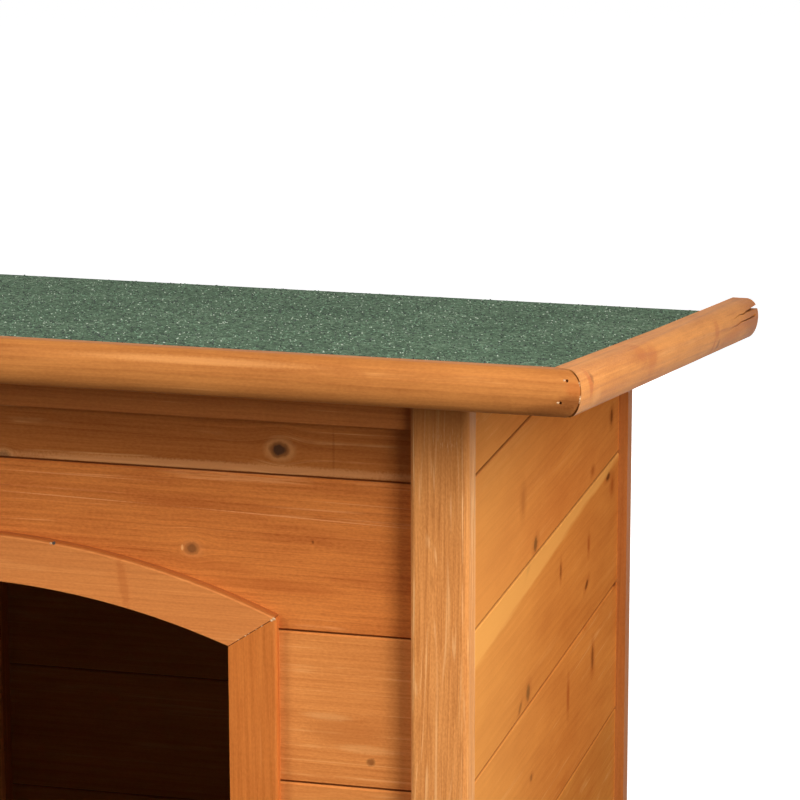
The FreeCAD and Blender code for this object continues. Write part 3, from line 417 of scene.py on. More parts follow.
def sapwood(g, colour):
    """Pale band of sapwood under the joint, narrowing to the rear."""
    depth, level, _ = g.split(face_point(g, "right"))
    band = g.add(SAP_TOP, g.mul(g.sub(depth, SAP_START), SAP_RISE))
    ragged = g.mul(g.sub(g.noise(g.join(g.mul(depth, 0.012), g.mul(level, 0.12), 0.0), 1, 3),
                         0.5), 9)
    pale = g.step(g.add(level, ragged), g.sub(band, SAP_SOFT), g.add(band, SAP_SOFT))
    colour = g.blend(g.mul(pale, 0.75), colour, srgb(240, 166, 84))
    return painted_light_toward_front(g, colour)


def boards():
    """Every wall board has its own grain; the ones in view follow the photograph."""
    front = dict(face="front", finish=shaded_inside)
    side = dict(face="right", finish=painted_light_toward_front, cloud=2.7, contrast=0.52, gloss=0.0)
    thin = srgb(222, 146, 88)
    seen = {
        "front_board_7": dict(
            # darker than the other front boards, partly painted shade for the roof's shadow
            light=srgb(188, 112, 52), dark=srgb(142, 74, 30), seed=3, pale=srgb(226, 166, 104),
            knots=((RIGHT_WALL - 0.112, COURSE_TOP + 0.0155, 0.0044, 1.0),
                   (RIGHT_WALL - 0.284, COURSE_TOP + 0.0015, 0.003, 0.7)),
            marks=(((-79, 16), (0.7, 14), 0, RESIN, 0.25),
                   # pale strip along the lower edge: painted light where the roof's shadow ends
                   ((-150, 3.0), (150, 2.8), 0.2, srgb(224, 156, 98), 0.5)), **front),
        "front_board_6": dict(
            light=srgb(216, 128, 60), dark=srgb(172, 88, 38), seed=5, pale=srgb(232, 156, 96),
            contrast=1.35, threads=0.5,
            knots=((RIGHT_WALL - 0.167, COURSE_TOP - 0.0487, 0.0034, 0.55),),
            marks=(((-243, -21.8), (42, 0.35), -1.2, thin, 0.9),
                   ((-98, -25.4), (66, 0.35), -1.6, thin, 0.9),
                   ((-240, -8), (46, 0.3), -0.6, thin, 0.7),
                   ((-60, -15), (30, 0.3), -1.0, thin, 0.6),
                   ((-92, -39.5), (0.7, 1.0), 20, UMBER, 0.6),
                   # russet smudges over the arch's right end: partly a stain, partly painted shade
                   # against the light the arch bounces onto this board
                   ((-118, -68), (44, 5.0), -2.5, RUSSET, 0.32),
                   ((-150, -58), (30, 3.4), -3, RUSSET, 0.28),
                   ((-173, -48.5), (0.7, 1.6), 0, CREAM, 0.8)), **front),
        "front_board_5_right": dict(
            light=HONEY, dark=AMBER, seed=8, pale=CREAM, contrast=1.15,
            marks=(((-72, -156), (24, 9), -2, srgb(168, 88, 36), 0.35),
                   ((-60, -166), (16, 2.6), -2, CREAM, 0.3),
                   ((-84, -147), (14, 2.2), -2, CREAM, 0.3),
                   ((-57, -173.5), (2.4, 2.2), 0, UMBER, 0.6)), **front),
        "front_board_4_right": dict(light=HONEY, dark=AMBER, seed=9, pale=CREAM, **front),
        "right_board_7": dict(light=srgb(232, 141, 68), dark=srgb(190, 97, 37), seed=12,
                              pale=srgb(236, 170, 110), threads=0.7, **side),
        "right_board_6": dict(light=srgb(230, 142, 65), dark=srgb(192, 102, 44), seed=13,
                              pale=CREAM, threads=0.1, **side),
        "right_board_5": dict(light=srgb(224, 139, 62), dark=srgb(187, 101, 42), seed=14,
                              pale=CREAM, threads=0.1, **dict(side, finish=sapwood)),
        "right_board_4": dict(light=srgb(224, 138, 62), dark=srgb(185, 98, 40), seed=15,
                              pale=CREAM, threads=0.25, **side),
    }
    number = 20
    for node in sorted(NODES):
        if "_board_" not in node:
            continue
        number += 1
        dice = random.Random(number)
        lift = dice.uniform(0.88, 1.06)
        facts = dict(light=tuple(c*lift for c in HONEY[:3]) + (1,),
                     dark=tuple(c*lift for c in AMBER[:3]) + (1,), pale=CREAM, seed=number,
                     cloud=dice.uniform(0.7, 1.3), threads=dice.uniform(0.15, 0.5),
                     finish=shaded_inside)
        if node.startswith(("left", "right")):
            facts.update(light=srgb(224 - 8*(number % 2), 139, 62), dark=srgb(185, 99, 41),
                         cloud=2.7, contrast=0.55, finish=painted_light_toward_front, gloss=0.0)
        facts.update(seen.get(node, {}))
        low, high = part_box(node)
        if node.startswith("right"):
            near = [mark for mark in PIN_KNOTS
                    if low.z + 0.004 < COURSE_TOP + mark[0][1]*MM < high.z]
            facts["marks"] = [(centre, (half[0]*2.2, half[1]*1.8), tilt, RUSSET, 0.4)
                              for centre, half, tilt, _, _ in near] + near
            facts["face"] = "right"
        elif "marks" not in facts:
            # a few pin knots
            run = (low.x, high.x) if node.startswith(("front", "back")) else (low.y, high.y)
            facts["knots"] = [(dice.uniform(*run), dice.uniform(low.z + 0.01, high.z - 0.01),
                               dice.uniform(0.0015, 0.005), dice.uniform(0.5, 1.0))
                              for _ in range(dice.randint(1, 3))]
        run = "y" if node.startswith(("left", "right")) else "x"
        dress(node, wood("wood_" + node, run, **facts))


# smudges on the roof trims near the right-hand corner and along the side: distance along the
# trim and height over the deck in mm, half sizes, tilt, colour and strength
FRONT_SMUDGES = (((517, 6), (7, 4), 10, RESIN, 0.45), ((505, 1), (14, 3), 5, RESIN, 0.4),
                 ((519, 13), (5, 4), 0, RUSSET, 0.35), ((300, 17), (60, 2), 0, CREAM, 0.25))
SIDE_SMUDGES = (((-40, 14), (5, 7), 20, RUSSET, 0.6), ((-34, 17), (3, 3), 0, RESIN, 0.5),
                ((-20, 5), (10, 4), 0, CREAM, 0.25), ((150, 14), (14, 7), 15, RUSSET, 0.35),
                ((120, 19), (12, 5), 0, RUSSET, 0.3), ((384, 14), (9, 6), 20, RUSSET, 0.4),
                ((376, 4), (4, 4), -15, RUSSET, 0.45), ((395, 4), (5, 3), 0, RESIN, 0.45),
                ((470, 8), (50, 5), 4, RUSSET, 0.35),
                ((548, 12), (44, 13), 0, srgb(140, 70, 32), 0.6))


def trim_stains(node):
    """Stain that soaked in unevenly at a trim's end grain and worked spots."""
    def finish(g, colour):
        where = g.node("TexCoord").outputs["Object"]
        turned = g.node("VectorRotate", {"Vector": where, "Center": ROOF_FRAME.translation,
                                         "Angle": SLOPE}, rotation_type="X_AXIS").outputs[0]
        x, y, z = g.split(turned)
        height = g.mul(g.sub(z, ROOF_FRAME.translation.z), 1000)
        if node == "roof_trim_front":
            run, marks = g.mul(x, 1000), FRONT_SMUDGES
        else:
            run, marks = g.mul(g.sub(y, ROOF_FRAME.translation.y), 1000), SIDE_SMUDGES
        face = g.join(run, height, 0.0)
        for centre, half, tilt, tint, strength in marks:
            mask = stroke(g, face, centre, half, tilt, soft=1.1, ragged=0.9)
            colour = g.blend(g.mul(mask, strength), colour, tint)
        return colour
    return finish


def post_threads(g, colour):
    """Fine wavering pale and dark threads up a post."""
    x, y, z = g.split(g.node("TexCoord").outputs["Object"])
    spread = g.join(g.mul(x, 52), g.mul(y, 52), g.mul(z, 2.2))
    field = g.mul(g.noise(spread, 1, 2, 0.45), 15)
    turn = g.math("ABSOLUTE", g.sub(g.math("FRACT", field), 0.5))
    broken = g.noise(g.join(g.mul(x, 400), g.mul(y, 400), g.mul(z, 9)), 1, 3, 0.6)
    pale = g.mul(g.step(turn, 0.12, 0.02), g.step(broken, 0.42, 0.62))
    dark = g.mul(g.step(turn, 0.36, 0.48), g.step(broken, 0.6, 0.4))
    colour = g.blend(g.mul(dark, 0.3), colour, srgb(160, 92, 42))
    return g.blend(g.mul(pale, 0.5), colour, srgb(242, 186, 124))


def post_scratches_and_painted_light(g, colour):
    """Short pale scuffs near the top of the post, painted shade toward its top under the roof's
    overhang, and a painted highlight on its rounded arris.
    """
    colour = post_threads(g, colour)
    where = face_point(g, "front")
    across, level, _ = g.split(where)
    patch = stroke(g, where, (-7, 31), (10, 8), ragged=0.9)
    cuts = g.step(g.noise(g.join(g.mul(across, 1.5), g.mul(level, 0.22), 0.0), 1, 2), 0.55, 0.7)
    colour = g.blend(g.mul(g.mul(patch, cuts), 0.75), colour, srgb(232, 178, 122))
    # painted shade: darker toward the top of the post, under the roof's overhang
    colour = g.blend(g.mul(g.step(level, -8, 52), 0.6), colour, srgb(146, 84, 36))
    # painted highlight on the rounded arris
    arris_highlight = g.mul(g.step(across, 4.8, 6.6), 0.22)
    return g.blend(arris_highlight, colour, srgb(236, 166, 92))


def frame_parts():
    """Posts, rails, door surround, battens, floor, deck and trims."""
    plain = dict(light=HONEY, dark=AMBER, pale=CREAM, spacing=0.0035)
    upright = dict(light=srgb(226, 152, 84), dark=srgb(180, 108, 52), pale=srgb(246, 192, 132),
                   threads=1.0, contrast=1.3, cloud=0.6, spacing=0.003)
    ruddy = dict(light=srgb(184, 112, 54), dark=srgb(150, 84, 38), pale=CREAM, threads=0.2)
    jamb = dict(light=srgb(212, 124, 56), dark=srgb(176, 94, 38), pale=CREAM, threads=0.2)
    inside = dict(light=srgb(206, 150, 98), dark=srgb(168, 112, 66), pale=CREAM, cloud=0.8)
    trim = dict(light=srgb(194, 125, 63), dark=srgb(154, 90, 42), pale=srgb(222, 160, 96),
                threads=0.3, cloud=1.8, contrast=1.0)
    side_trim = dict(trim, light=srgb(216, 144, 74), dark=srgb(172, 102, 46))
    number = 80
    for node, run, facts in (
            ("front_post_left", "z", dict(upright, finish=post_threads)),
            ("front_post_right", "z", dict(upright, finish=post_scratches_and_painted_light)),
            ("rear_post_left", "z", ruddy), ("rear_post_right", "z", ruddy),
            ("front_top_rail", "x", dict(plain, light=srgb(204, 124, 62),
                                         dark=srgb(166, 92, 42))),
            ("rear_top_rail", "x", plain), ("door_jamb_left", "z", jamb),
            ("door_jamb_right", "z", jamb), ("door_sill", "x", jamb),
            ("corner_battens", "z", inside), ("wall_battens", "z", inside),
            ("floor_bearers", "y", inside), ("floor_boards", "x", inside),
            ("roof_deck", "x", inside), ("roof_battens", "roof", inside),
            ("roof_trim_front", "x", trim), ("roof_trim_left", "roof", side_trim),
            ("roof_trim_right", "roof", side_trim)):
        number += 1
        if node.startswith("roof_trim"):
            facts = dict(facts, finish=trim_stains(node))
        dress(node, wood("wood_" + node, run, number, **facts))
    low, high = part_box("door_arch")
    middle = (low.x + high.x)/2
    outer = high.z - ARCH_CENTRE

    def rim(g, colour):
        x, _, z = g.split(g.node("TexCoord").outputs["Object"])
        reach = g.vec("LENGTH", g.join(g.sub(x, middle), g.sub(z, ARCH_CENTRE), 0.0))
        # painted shade: the arch's outer rim is darker, toning down its lit top edge and the light
        # it bounces onto the board above
        edge = g.step(reach, outer - 0.0016, outer - 0.0006)
        colour = g.blend(g.mul(edge, 0.8), colour, srgb(146, 76, 30))
        where = face_point(g, "front")
        bend = stroke(g, where, (-209, -70), (2.6, 16), tilt=8, ragged=1.2)
        return g.blend(g.mul(bend, 0.35), colour, RUSSET)

    dress("door_arch", wood("wood_door_arch", "x", 77, srgb(220, 138, 72), srgb(188, 108, 54),
                            CREAM, threads=0.15, finish=rim))


# ------------------------------------------------------------------ felt, metal and plastic
def felt():
    """Bitumen felt with crushed mineral: mixed green, dark and pale grains."""
    made, g, shader = new_material("felt_mineral")
    where = g.node("TexCoord").outputs["Object"]
    ragged = g.vec("ADD", where, g.scale(g.noise(where, 700, 2, 0.6, "Color"), 0.0012))
    grains = g.node("TexVoronoi", {"Vector": ragged, "Scale": 520.0}, feature="F1")
    fine = g.node("TexVoronoi", {"Vector": ragged, "Scale": 1250.0}, feature="F1")
    coarse, dust = g.split(grains.outputs["Color"])[0], g.split(fine.outputs["Color"])[1]
    cover = g.noise(where, 14, 4, 0.6)
    shade = g.add(g.add(g.mul(coarse, 0.72), g.mul(dust, 0.28)), g.mul(g.sub(cover, 0.5), 0.35))
    colour = g.ramp(shade, [(0.0, srgb(26, 38, 26)), (0.25, srgb(53, 71, 52)),
                            (0.45, srgb(78, 100, 77)), (0.7, srgb(95, 118, 93)),
                            (0.88, srgb(124, 146, 118)), (0.95, srgb(160, 174, 150)),
                            (1.0, srgb(180, 190, 172))])
    g.feed(shader.inputs["Base Color"], colour)
    g.feed(shader.inputs["Roughness"], 0.9)
    shader.inputs["Specular IOR Level"].default_value = 0.15
    lumps = g.sub(g.mul(coarse, 0.6), grains.outputs["Distance"])
    bump = g.node("Bump", {"Height": lumps, "Strength": 0.7, "Distance": 0.0008})
    g.feed(shader.inputs["Normal"], bump.outputs[0])
    dress("roof_felt", made)


def zinc():
    """Clouded zinc plate on the hinges, their screws and the stay."""
    made, g, shader = new_material("zinc_plate")
    where = g.node("TexCoord").outputs["Object"]
    cloud = g.noise(where, 60, 4, 0.6)
    g.feed(shader.inputs["Base Color"], g.blend(cloud, srgb(118, 120, 122), srgb(166, 168, 168)))
    g.feed(shader.inputs["Metallic"], 1.0)
    g.feed(shader.inputs["Roughness"], g.add(0.34, g.mul(cloud, 0.25)))
    fine = g.noise(where, 900, 2, 0.5)
    bump = g.node("Bump", {"Height": fine, "Strength": 0.12, "Distance": 0.0002})
    g.feed(shader.inputs["Normal"], bump.outputs[0])
    for node in ("hinge_wall_leaves", "hinge_roof_leaves", "hinge_pins", "hinge_wall_screws",
                 "hinge_roof_screws", "stay_arm", "stay_wall_stud", "stay_roof_bracket"):
        dress(node, made)


def plastic():
    """Fine-textured black plastic feet."""
    made, g, shader = new_material("feet_plastic")
    where = g.node("TexCoord").outputs["Object"]
    sand = g.noise(where, 1800, 2, 0.5)
    g.feed(shader.inputs["Base Color"], g.blend(sand, srgb(30, 30, 31), srgb(44, 44, 45)))
    g.feed(shader.inputs["Roughness"], g.add(0.5, g.mul(sand, 0.2)))
    bump = g.node("Bump", {"Height": sand, "Strength": 0.2, "Distance": 0.0002})
    g.feed(shader.inputs["Normal"], bump.outputs[0])
    dress("feet", made)


# ------------------------------------------------------------------ mesh pieces
TRIM_RINGS = 84                                 # steps down a trim
SHARP = math.radians(38)                        # edges over this angle stay sharp
# nail holes in the front trim: radius at the mouth and the floor, and depth
HOLE_MOUTH, HOLE_FLOOR, HOLE_DEPTH = 1.15*MM, 0.55*MM, 2.6*MM
# splits in the right trim: tip and mouth as (down the slope, height), opening and depth
SPLITS = (((455*MM, 17.6*MM), (TAIL + 2*MM, 19.6*MM), 3.2*MM, 13*MM),
          ((420*MM, 11.5*MM), (548*MM, 14.6*MM), 1.7*MM, 6*MM))
# filler in the roof's corners as height and size in mm, and in the door's mitres as share of
# the mitre from its inner end and size in mm
ROOF_CRUMBS = ((16.6, 0.4), (15.2, 0.3), (9.4, 0.35), (8.2, 0.5), (6.9, 0.35), (5.8, 0.25))
DOOR_CRUMBS = ((0.22, 0.35), (0.36, 0.5), (0.43, 0.35), (0.58, 0.3), (0.7, 0.45), (0.9, 0.8),
               (0.95, 0.95))


def object_from(bm, name, material=None, body=None):
    """Finish a bmesh as an object, and as a piece that rides on a body where one is given."""
    bmesh.ops.recalc_face_normals(bm, faces=bm.faces)
    mesh = bpy.data.meshes.new(name)
    bm.to_mesh(mesh)
    bm.free()
    piece = bpy.data.objects.new(name, mesh)
    bpy.context.scene.collection.objects.link(piece)
    if material:
        mesh.materials.append(material)
    if body:
        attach(piece, body)
    return piece


def loft(bm, rings):
    """Skin closed rings of equal length and cap both ends."""
    rows = [[bm.verts.new(point) for point in ring] for ring in rings]
    for low, high in zip(rows, rows[1:]):
        for i in range(len(low)):
            j = (i + 1) % len(low)
            bm.faces.new((low[i], low[j], high[j], high[i]))
    caps = [bm.faces.new(rows[0]), bm.faces.new(rows[-1])]
    bmesh.ops.triangulate(bm, faces=caps)


def half_round():
    """Section of a roof trim as depth behind its outer face and height over the deck."""
    high, low = ROUND_HIGH, ROUND_LOW
    section = [(TRIM_WIDTH, TRIM_LOW + 0.6*MM), (TRIM_WIDTH - 0.6*MM, TRIM_LOW)]
    for i in range(15):
        turn = math.radians(90*i/14)
        section.append((low[0]*(1 - math.sin(turn)), TRIM_MIDDLE - low[1]*math.cos(turn)))
    for i in range(1, 15):
        turn = math.radians(90*i/14)
        section.append((high[0]*(1 - math.cos(turn)), TRIM_MIDDLE + high[1]*math.sin(turn)))
    section.append((TRIM_WIDTH - 0.6*MM, TRIM_HIGH))
    section.append((TRIM_WIDTH, TRIM_HIGH - 0.6*MM))
    return section


def sanded(point, reach):
    """How far hand sanding left a trim's surface under its full size, in metres."""
    wave = noise.noise(point*9) + 0.5*noise.noise(point*31)
    return reach*(0.18 + 0.16*wave)*MM


def trim(name, place, start, end, cuts=()):
    """A half-round trim. place(s, d, h) gives its points, start and end give s at d and h."""
    section = half_round()
    rings = []
    for k in range(TRIM_RINGS + 1):
        share = k/TRIM_RINGS
        ring = []
        for d, h in section:
            s0, s1 = start(d, h), end(d, h)
            s = s0 + (s1 - s0)*share
            outer = max(0.0, 1 - d/TRIM_WIDTH)
            wave = sanded(Vector((s, d*4, h*4)) + Vector((len(name), 0, 0)), outer)
            ring.append(ROOF_FRAME @ Vector(place(s, d + wave, h)))
        rings.append(ring)
    bm = bmesh.new()
    loft(bm, rings)
    piece = object_from(bm, name)
    for number, cut in enumerate(cuts):
        cutter = object_from(cut, f"cutter_{name}_{number}")
        made = piece.modifiers.new("cut", "BOOLEAN")
        made.object, made.operation, made.solver = cutter, "DIFFERENCE", "EXACT"
        bpy.context.view_layer.update()
        solid = bpy.data.meshes.new_from_object(
            piece.evaluated_get(bpy.context.evaluated_depsgraph_get()))
        piece.modifiers.clear()
        piece.data = solid
        bpy.data.objects.remove(cutter)
    piece.data.name = name
    piece.data.materials.clear()
    piece.data.materials.append(NODES[name.replace("moulded_", "")].material_slots[0].material)
    for face in piece.data.polygons:
        face.use_smooth = True
    piece.data.set_sharp_from_angle(angle=SHARP)
    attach(piece, "roof")
    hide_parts(name.replace("moulded_", ""))


def peg(base, tip, wide, narrow, sides=12):
    """A tapered cutter between two points, for a nail hole."""
    bm = bmesh.new()
    axis = (Vector(tip) - Vector(base)).normalized()
    across = axis.orthogonal().normalized()
    rings = []
    for centre, radius in ((Vector(base), wide), (Vector(tip), narrow)):
        rings.append([centre + Matrix.Rotation(math.tau*i/sides, 3, axis) @ across*radius
                      for i in range(sides)])
    loft(bm, rings)
    return bm


def split_cut(side, tip, mouth, opening, depth):
    """A crack's cutter on a side trim: (distance down the slope, height) at tip and mouth."""
    bm = bmesh.new()
    rings = []
    steps = 14
    for i in range(steps + 1):
        share = i/steps
        v = tip[0] + (mouth[0] - tip[0])*share
        n = tip[1] + (mouth[1] - tip[1])*share
        n += 0.7*MM*noise.noise(Vector((v*55, tip[1]*900, 0)))
        half = 0.5*opening*(0.06 + 0.94*share**1.3)*(1 + 0.35*noise.noise(Vector((v*130, 3, 0))))
        inner = depth*(0.25 + 0.75*share)
        outline = ((-1*MM, half), (inner, half*0.3), (inner, -half*0.3), (-1*MM, -half))
        rings.append([ROOF_FRAME @ Vector((side*(ROOF_HALF - d), v, n + step - 0.12*d))
                      for d, step in outline])
    loft(bm, rings)
    return bm


def nail_places():
    """Nails through the ends of the front trim: across, and height over the deck."""
    for side in (-1, 1):
        yield side, 514.0*MM, 17.5*MM
        yield side, 511.0*MM, 5.2*MM


def surface_depth(h):
    """Depth of the half-round face behind its foremost line at a height."""
    depth, rise = ROUND_HIGH if h > TRIM_MIDDLE else ROUND_LOW
    share = min(1.0, abs(h - TRIM_MIDDLE)/rise)
    return depth*(1 - math.sqrt(1 - share**2))


def gap(h):
    """Half the opening of a roof corner: worked tight in the middle, open low and high."""
    share = (h - TRIM_LOW)/(TRIM_HIGH - TRIM_LOW)
    low = 1.5*max(0.0, 1 - share/0.42)
    high = 0.8*max(0.0, (share - 0.66)/0.34)
    return (0.3 + low + high + 0.08*noise.noise(Vector((h*420, 5, 0))))*MM


def crest(s, h):
    """The side trims stand a little taller toward the rear."""
    share = (h - TRIM_LOW)/(TRIM_HIGH - TRIM_LOW)
    return 1.8*MM*max(0.0, (s - 0.25)/(TAIL - 0.25))*share


def roof_trims():
    """The three moulded trims, with nail holes in front and two splits at the right rear."""
    holes = []
    for side, x, h in nail_places():
        depth = surface_depth(h)
        mouth = ROOF_FRAME @ Vector((side*x, NOSE + depth - 1.2*MM, h))
        floor = ROOF_FRAME @ Vector((side*(x - 0.3*MM), NOSE + depth + HOLE_DEPTH, h))
        holes.append(peg(mouth, floor, HOLE_MOUTH, HOLE_FLOOR))
    trim("moulded_roof_trim_front", lambda s, d, h: (s, NOSE + d, h),
         lambda d, h: -(ROOF_HALF - d - gap(h)), lambda d, h: ROOF_HALF - d - gap(h), holes)
    for side, name in ((-1, "left"), (1, "right")):
        cuts = [split_cut(side, *split) for split in SPLITS] if side > 0 else []

        def tail(d, h):
            corner = 2.2*MM*max(0.0, 1 - d/(6*MM))**2
            return TAIL - 0.2*MM - corner - 0.5*MM*abs(noise.noise(Vector((h*160, d*160, 2))))

        trim("moulded_roof_trim_" + name,
             lambda s, d, h, side=side: (side*(ROOF_HALF - d), s, h + crest(s, h)),
             lambda d, h: NOSE + d + 0.5*MM + gap(h), tail, cuts)


def crumb(bm, centre, size, seed):
    """A small lump of filler or grit."""
    dice = random.Random(seed)
    made = bmesh.ops.create_icosphere(bm, subdivisions=2, radius=1.0)
    turn = Matrix.Rotation(dice.uniform(0, 6), 3, "Z") @ Matrix.Rotation(dice.uniform(0, 6), 3, "X")
    for vert in made["verts"]:
        bump = 1 + 0.35*noise.noise(vert.co*1.7 + Vector((seed*3.1, 0, 0)))
        local = turn @ (vert.co*bump)
        vert.co = Vector(centre) + Vector([a*b for a, b in zip(local, size)])


def arch_nail(side):
    """Where a nail of the arch meets its outer edge, as x and z."""
    low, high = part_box("door_arch")
    reach = math.sqrt((high.z - ARCH_CENTRE)**2 - ARCH_NAIL**2)
    return (low.x + high.x)/2 + side*ARCH_NAIL, ARCH_CENTRE + reach


def filler():
    """Pale wood filler beside the nails and in the mitres."""
    made, g, shader = new_material("filler")
    where = g.node("TexCoord").outputs["Object"]
    tint = g.noise(where, 900, 3, 0.6)
    g.feed(shader.inputs["Base Color"], g.blend(tint, srgb(186, 138, 92), srgb(224, 186, 144)))
    g.feed(shader.inputs["Roughness"], 0.85)
    grit = g.node("Bump", {"Height": tint, "Strength": 0.3, "Distance": 0.0003})
    g.feed(shader.inputs["Normal"], grit.outputs[0])

    bm = bmesh.new()
    seed = 0
    for side, x, h in nail_places():
        seed += 1
        depth = surface_depth(h)
        spot = ROOF_FRAME @ Vector((side*x - 1.5*MM, NOSE + depth + 0.25*MM, h + 0.1*MM))
        crumb(bm, spot, (0.75*MM, 0.4*MM, 0.7*MM), seed)
    for side in (-1, 1):
        for h, size in ROOF_CRUMBS:
            seed += 1
            depth = surface_depth(h*MM)
            spot = ROOF_FRAME @ Vector((side*(ROOF_HALF - depth - 0.5*MM),
                                        NOSE + depth + 0.35*MM, h*MM))
            crumb(bm, spot, (size*MM, size*MM, 1.5*size*MM), seed)
    object_from(bm, "filler_roof", made, "roof")

    bm = bmesh.new()
    low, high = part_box("door_arch")
    middle, face = (low.x + high.x)/2, low.y
    half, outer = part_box("door_jamb_right")[0].x - middle, high.x - middle
    inner_z, outer_z = low.z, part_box("door_jamb_right")[1].z
    for side in (-1, 1):
        for share, size in DOOR_CRUMBS:
            seed += 1
            x = middle + side*(half + (outer - half)*share)
            z = inner_z + (outer_z - inner_z)*share
            crumb(bm, (x, face + 0.25*MM, z), (size*1.3*MM, 0.45*MM, size*MM), seed)
    for side in (-1, 1):
        seed += 1
        x, z = arch_nail(side)
        crumb(bm, (x - 0.9*MM, face + 0.2*MM, z - 1.2*MM), (0.9*MM, 0.5*MM, 0.7*MM), seed)
    object_from(bm, "filler_door", made, "house")


def nails():
    """Small nail heads that hold the arch, set in its rim."""
    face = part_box("door_arch")[0].y
    bm = bmesh.new()
    for side in (-1, 1):
        x, z = arch_nail(side)
        base = Vector((x + 0.9*MM, face + 0.1*MM, z - 1.0*MM))
        rings = []
        for depth, radius in ((-0.02, 0.55), (-0.1, 0.95), (0.25, 1.0), (1.2, 0.95)):
            rings.append([base + Vector((radius*MM*math.cos(math.tau*i/14), depth*MM,
                                         radius*MM*math.sin(math.tau*i/14))) for i in range(14)])
        loft(bm, rings)
    made, g, shader = new_material("nail_steel")
    where = g.node("TexCoord").outputs["Object"]
    g.feed(shader.inputs["Base Color"], g.blend(g.noise(where, 1500, 2), srgb(44, 34, 28),
                                                srgb(96, 84, 74)))
    g.feed(shader.inputs["Roughness"], 0.5)
    shader.inputs["Metallic"].default_value = 0.7
    object_from(bm, "arch_nails", made, "house")


# name, two shades, how many, and smallest and largest radius in mm
STONES = (
    ("pale", srgb(140, 158, 136), srgb(206, 214, 196), 2600, (0.35, 0.8)),
    ("green", srgb(84, 112, 88), srgb(116, 144, 116), 7000, (0.45, 0.95)),
    ("dark", srgb(22, 32, 24), srgb(48, 60, 48), 9000, (0.5, 1.05)),
)


def granules(stones):
    """Loose crushed stone that stands proud of the felt."""
    dice = random.Random(5)
    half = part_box("roof_felt")[1].x - 1.2*MM
    front, rear = NOSE + TRIM_WIDTH + 1.0*MM, TAIL - 1.2*MM
    for name, tint_a, tint_b, count, size in stones:
        bm = bmesh.new()
        for _ in range(count):
            u, v = dice.uniform(-half, half), dice.uniform(front, rear)
            radius = dice.uniform(*size)*MM
            centre = Vector((u, v, FELT_TOP + 0.1*radius))
            turn = Matrix.Rotation(dice.uniform(0, 6.3), 3, "Z")
            points = []
            for corner in ((1, 0, 0), (-0.35, 0.9, 0.1), (-0.5, -0.8, 0), (0.1, 0.1, 0.75),
                           (0.1, 0.0, -0.6)):
                jitter = Vector([dice.uniform(-0.25, 0.25) for _ in range(3)])
                points.append(bm.verts.new(
                    ROOF_FRAME @ (centre + turn @ ((Vector(corner) + jitter)*radius))))
            for face in ((0, 1, 3), (1, 2, 3), (2, 0, 3), (1, 0, 4), (2, 1, 4), (0, 2, 4)):
                bm.faces.new([points[i] for i in face])
        made, g, shader = new_material("stone_" + name)
        where = g.node("TexCoord").outputs["Object"]
        g.feed(shader.inputs["Base Color"], g.blend(g.noise(where, 600, 1), tint_a, tint_b))
        g.feed(shader.inputs["Roughness"], 0.7)
        object_from(bm, "granules_" + name, made, "roof")


# ------------------------------------------------------------------ studio
AMBIENT = 0.025                                 # the world, for rays that light the house
FLOOR_HALF = 14
FLOOR_TONE, FLOOR_SEEN = 0.03, 0.47             # floor as the house meets it, and more in sight
FLOOR_GLOW = (1.0, 2.4, 0.77, 0.97)             # from and to this distance: strength from and to
TARGET = Vector((0.25, -0.2, 0.5))
# name, bearing right of the front, height angle, distance, width, height, power
LAMPS = (
    ("right", 45, 31, 3.0, 0.95, 2.5, 80),
    ("left", -54, 31, 3.0, 0.7, 2.5, 59),
    ("side", 66, 28, 1.4, 0.8, 1.2, 14),
    ("rear", -176, 6, 2.8, 1.6, 0.8, 30),
    ("rear_side", -122, 12, 2.6, 1.0, 1.0, 12),
)


def seen_rays(g):
    """1 for the rays that see the white studio, and 0 for those that light the house."""
    rays = g.node("LightPath").outputs
    return g.math("MAXIMUM", rays["Is Camera Ray"],
                  g.math("MAXIMUM", rays["Is Glossy Ray"], rays["Is Transmission Ray"]))


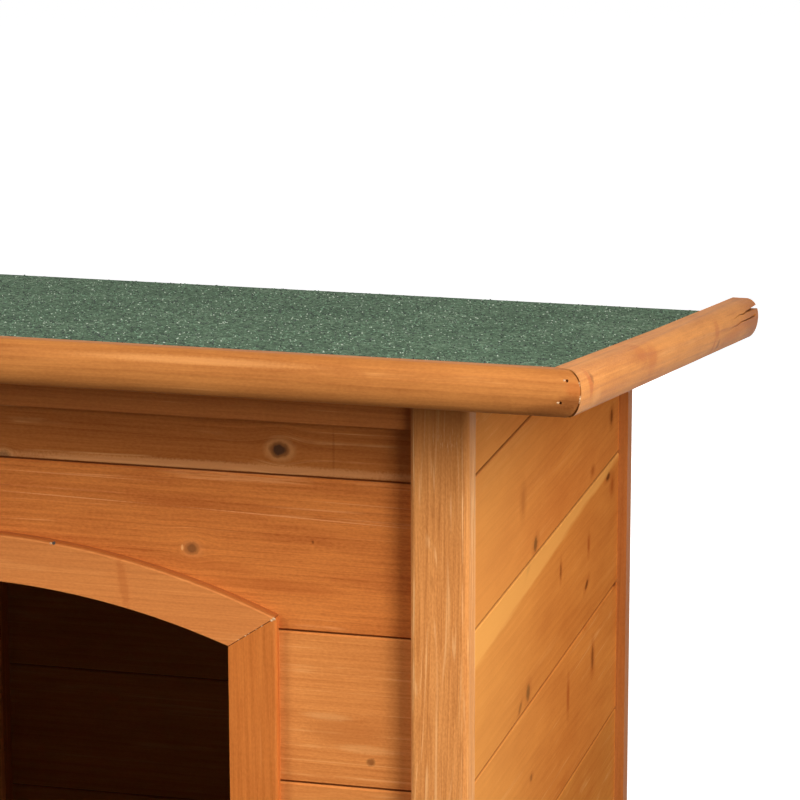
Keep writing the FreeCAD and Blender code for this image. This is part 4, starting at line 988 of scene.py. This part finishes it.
def studio():
    """White floor and world, and the lamps. The rear lamps don't show in reflections."""
    scene = bpy.context.scene
    scene.view_settings.view_transform = "Standard"
    world = bpy.data.worlds.new("studio")
    scene.world = world
    world.use_nodes = True
    world.node_tree.nodes.clear()
    g = Graph(world.node_tree)
    strength = g.step(seen_rays(g), 0, 1, AMBIENT, 1)
    back = g.node("Background", {"Color": (1, 1, 1, 1), "Strength": strength})
    out = g.node("OutputWorld")
    world.node_tree.links.new(back.outputs[0], out.inputs[0])

    floor_mesh = bpy.data.meshes.new("floor")
    size = FLOOR_HALF
    floor_mesh.from_pydata([(-size, -size, 0), (size, -size, 0), (size, size, 0),
                            (-size, size, 0)], [], [(0, 1, 2, 3)])
    floor = bpy.data.objects.new("floor", floor_mesh)
    scene.collection.objects.link(floor)
    made, g, shader = new_material("floor")
    where = g.node("TexCoord").outputs["Object"]
    seen = seen_rays(g)
    cloud = g.mul(g.noise(where, 3, 3), 0.02)
    pale = g.add(g.add(FLOOR_TONE, cloud), g.mul(seen, FLOOR_SEEN))
    g.feed(shader.inputs["Base Color"], g.join(pale, pale, pale))
    g.feed(shader.inputs["Roughness"], 0.9)
    shader.inputs["Specular IOR Level"].default_value = 0.0
    g.feed(shader.inputs["Emission Color"], (1, 1, 1, 1))
    away = g.step(g.vec("LENGTH", where), *FLOOR_GLOW)
    g.feed(shader.inputs["Emission Strength"], g.mul(seen, away))
    floor_mesh.materials.append(made)

    for name, bearing, rise, distance, width, height, power in LAMPS:
        bearing, rise = math.radians(bearing), math.radians(rise)
        way = Vector((-math.sin(bearing)*math.cos(rise), math.cos(bearing)*math.cos(rise),
                      -math.sin(rise)))
        data = bpy.data.lights.new(name, "AREA")
        data.shape, data.size, data.size_y, data.energy = "RECTANGLE", width, height, power
        lamp = bpy.data.objects.new(name, data)
        lamp.visible_glossy = not name.startswith("rear")
        scene.collection.objects.link(lamp)
        lamp.matrix_world = (Matrix.Translation(TARGET - distance*way)
                             @ way.to_track_quat("-Z", "Y").to_matrix().to_4x4())


camera()
boards()
frame_parts()
felt()
zinc()
plastic()
roof_trims()
filler()
nails()
granules(STONES)
studio()
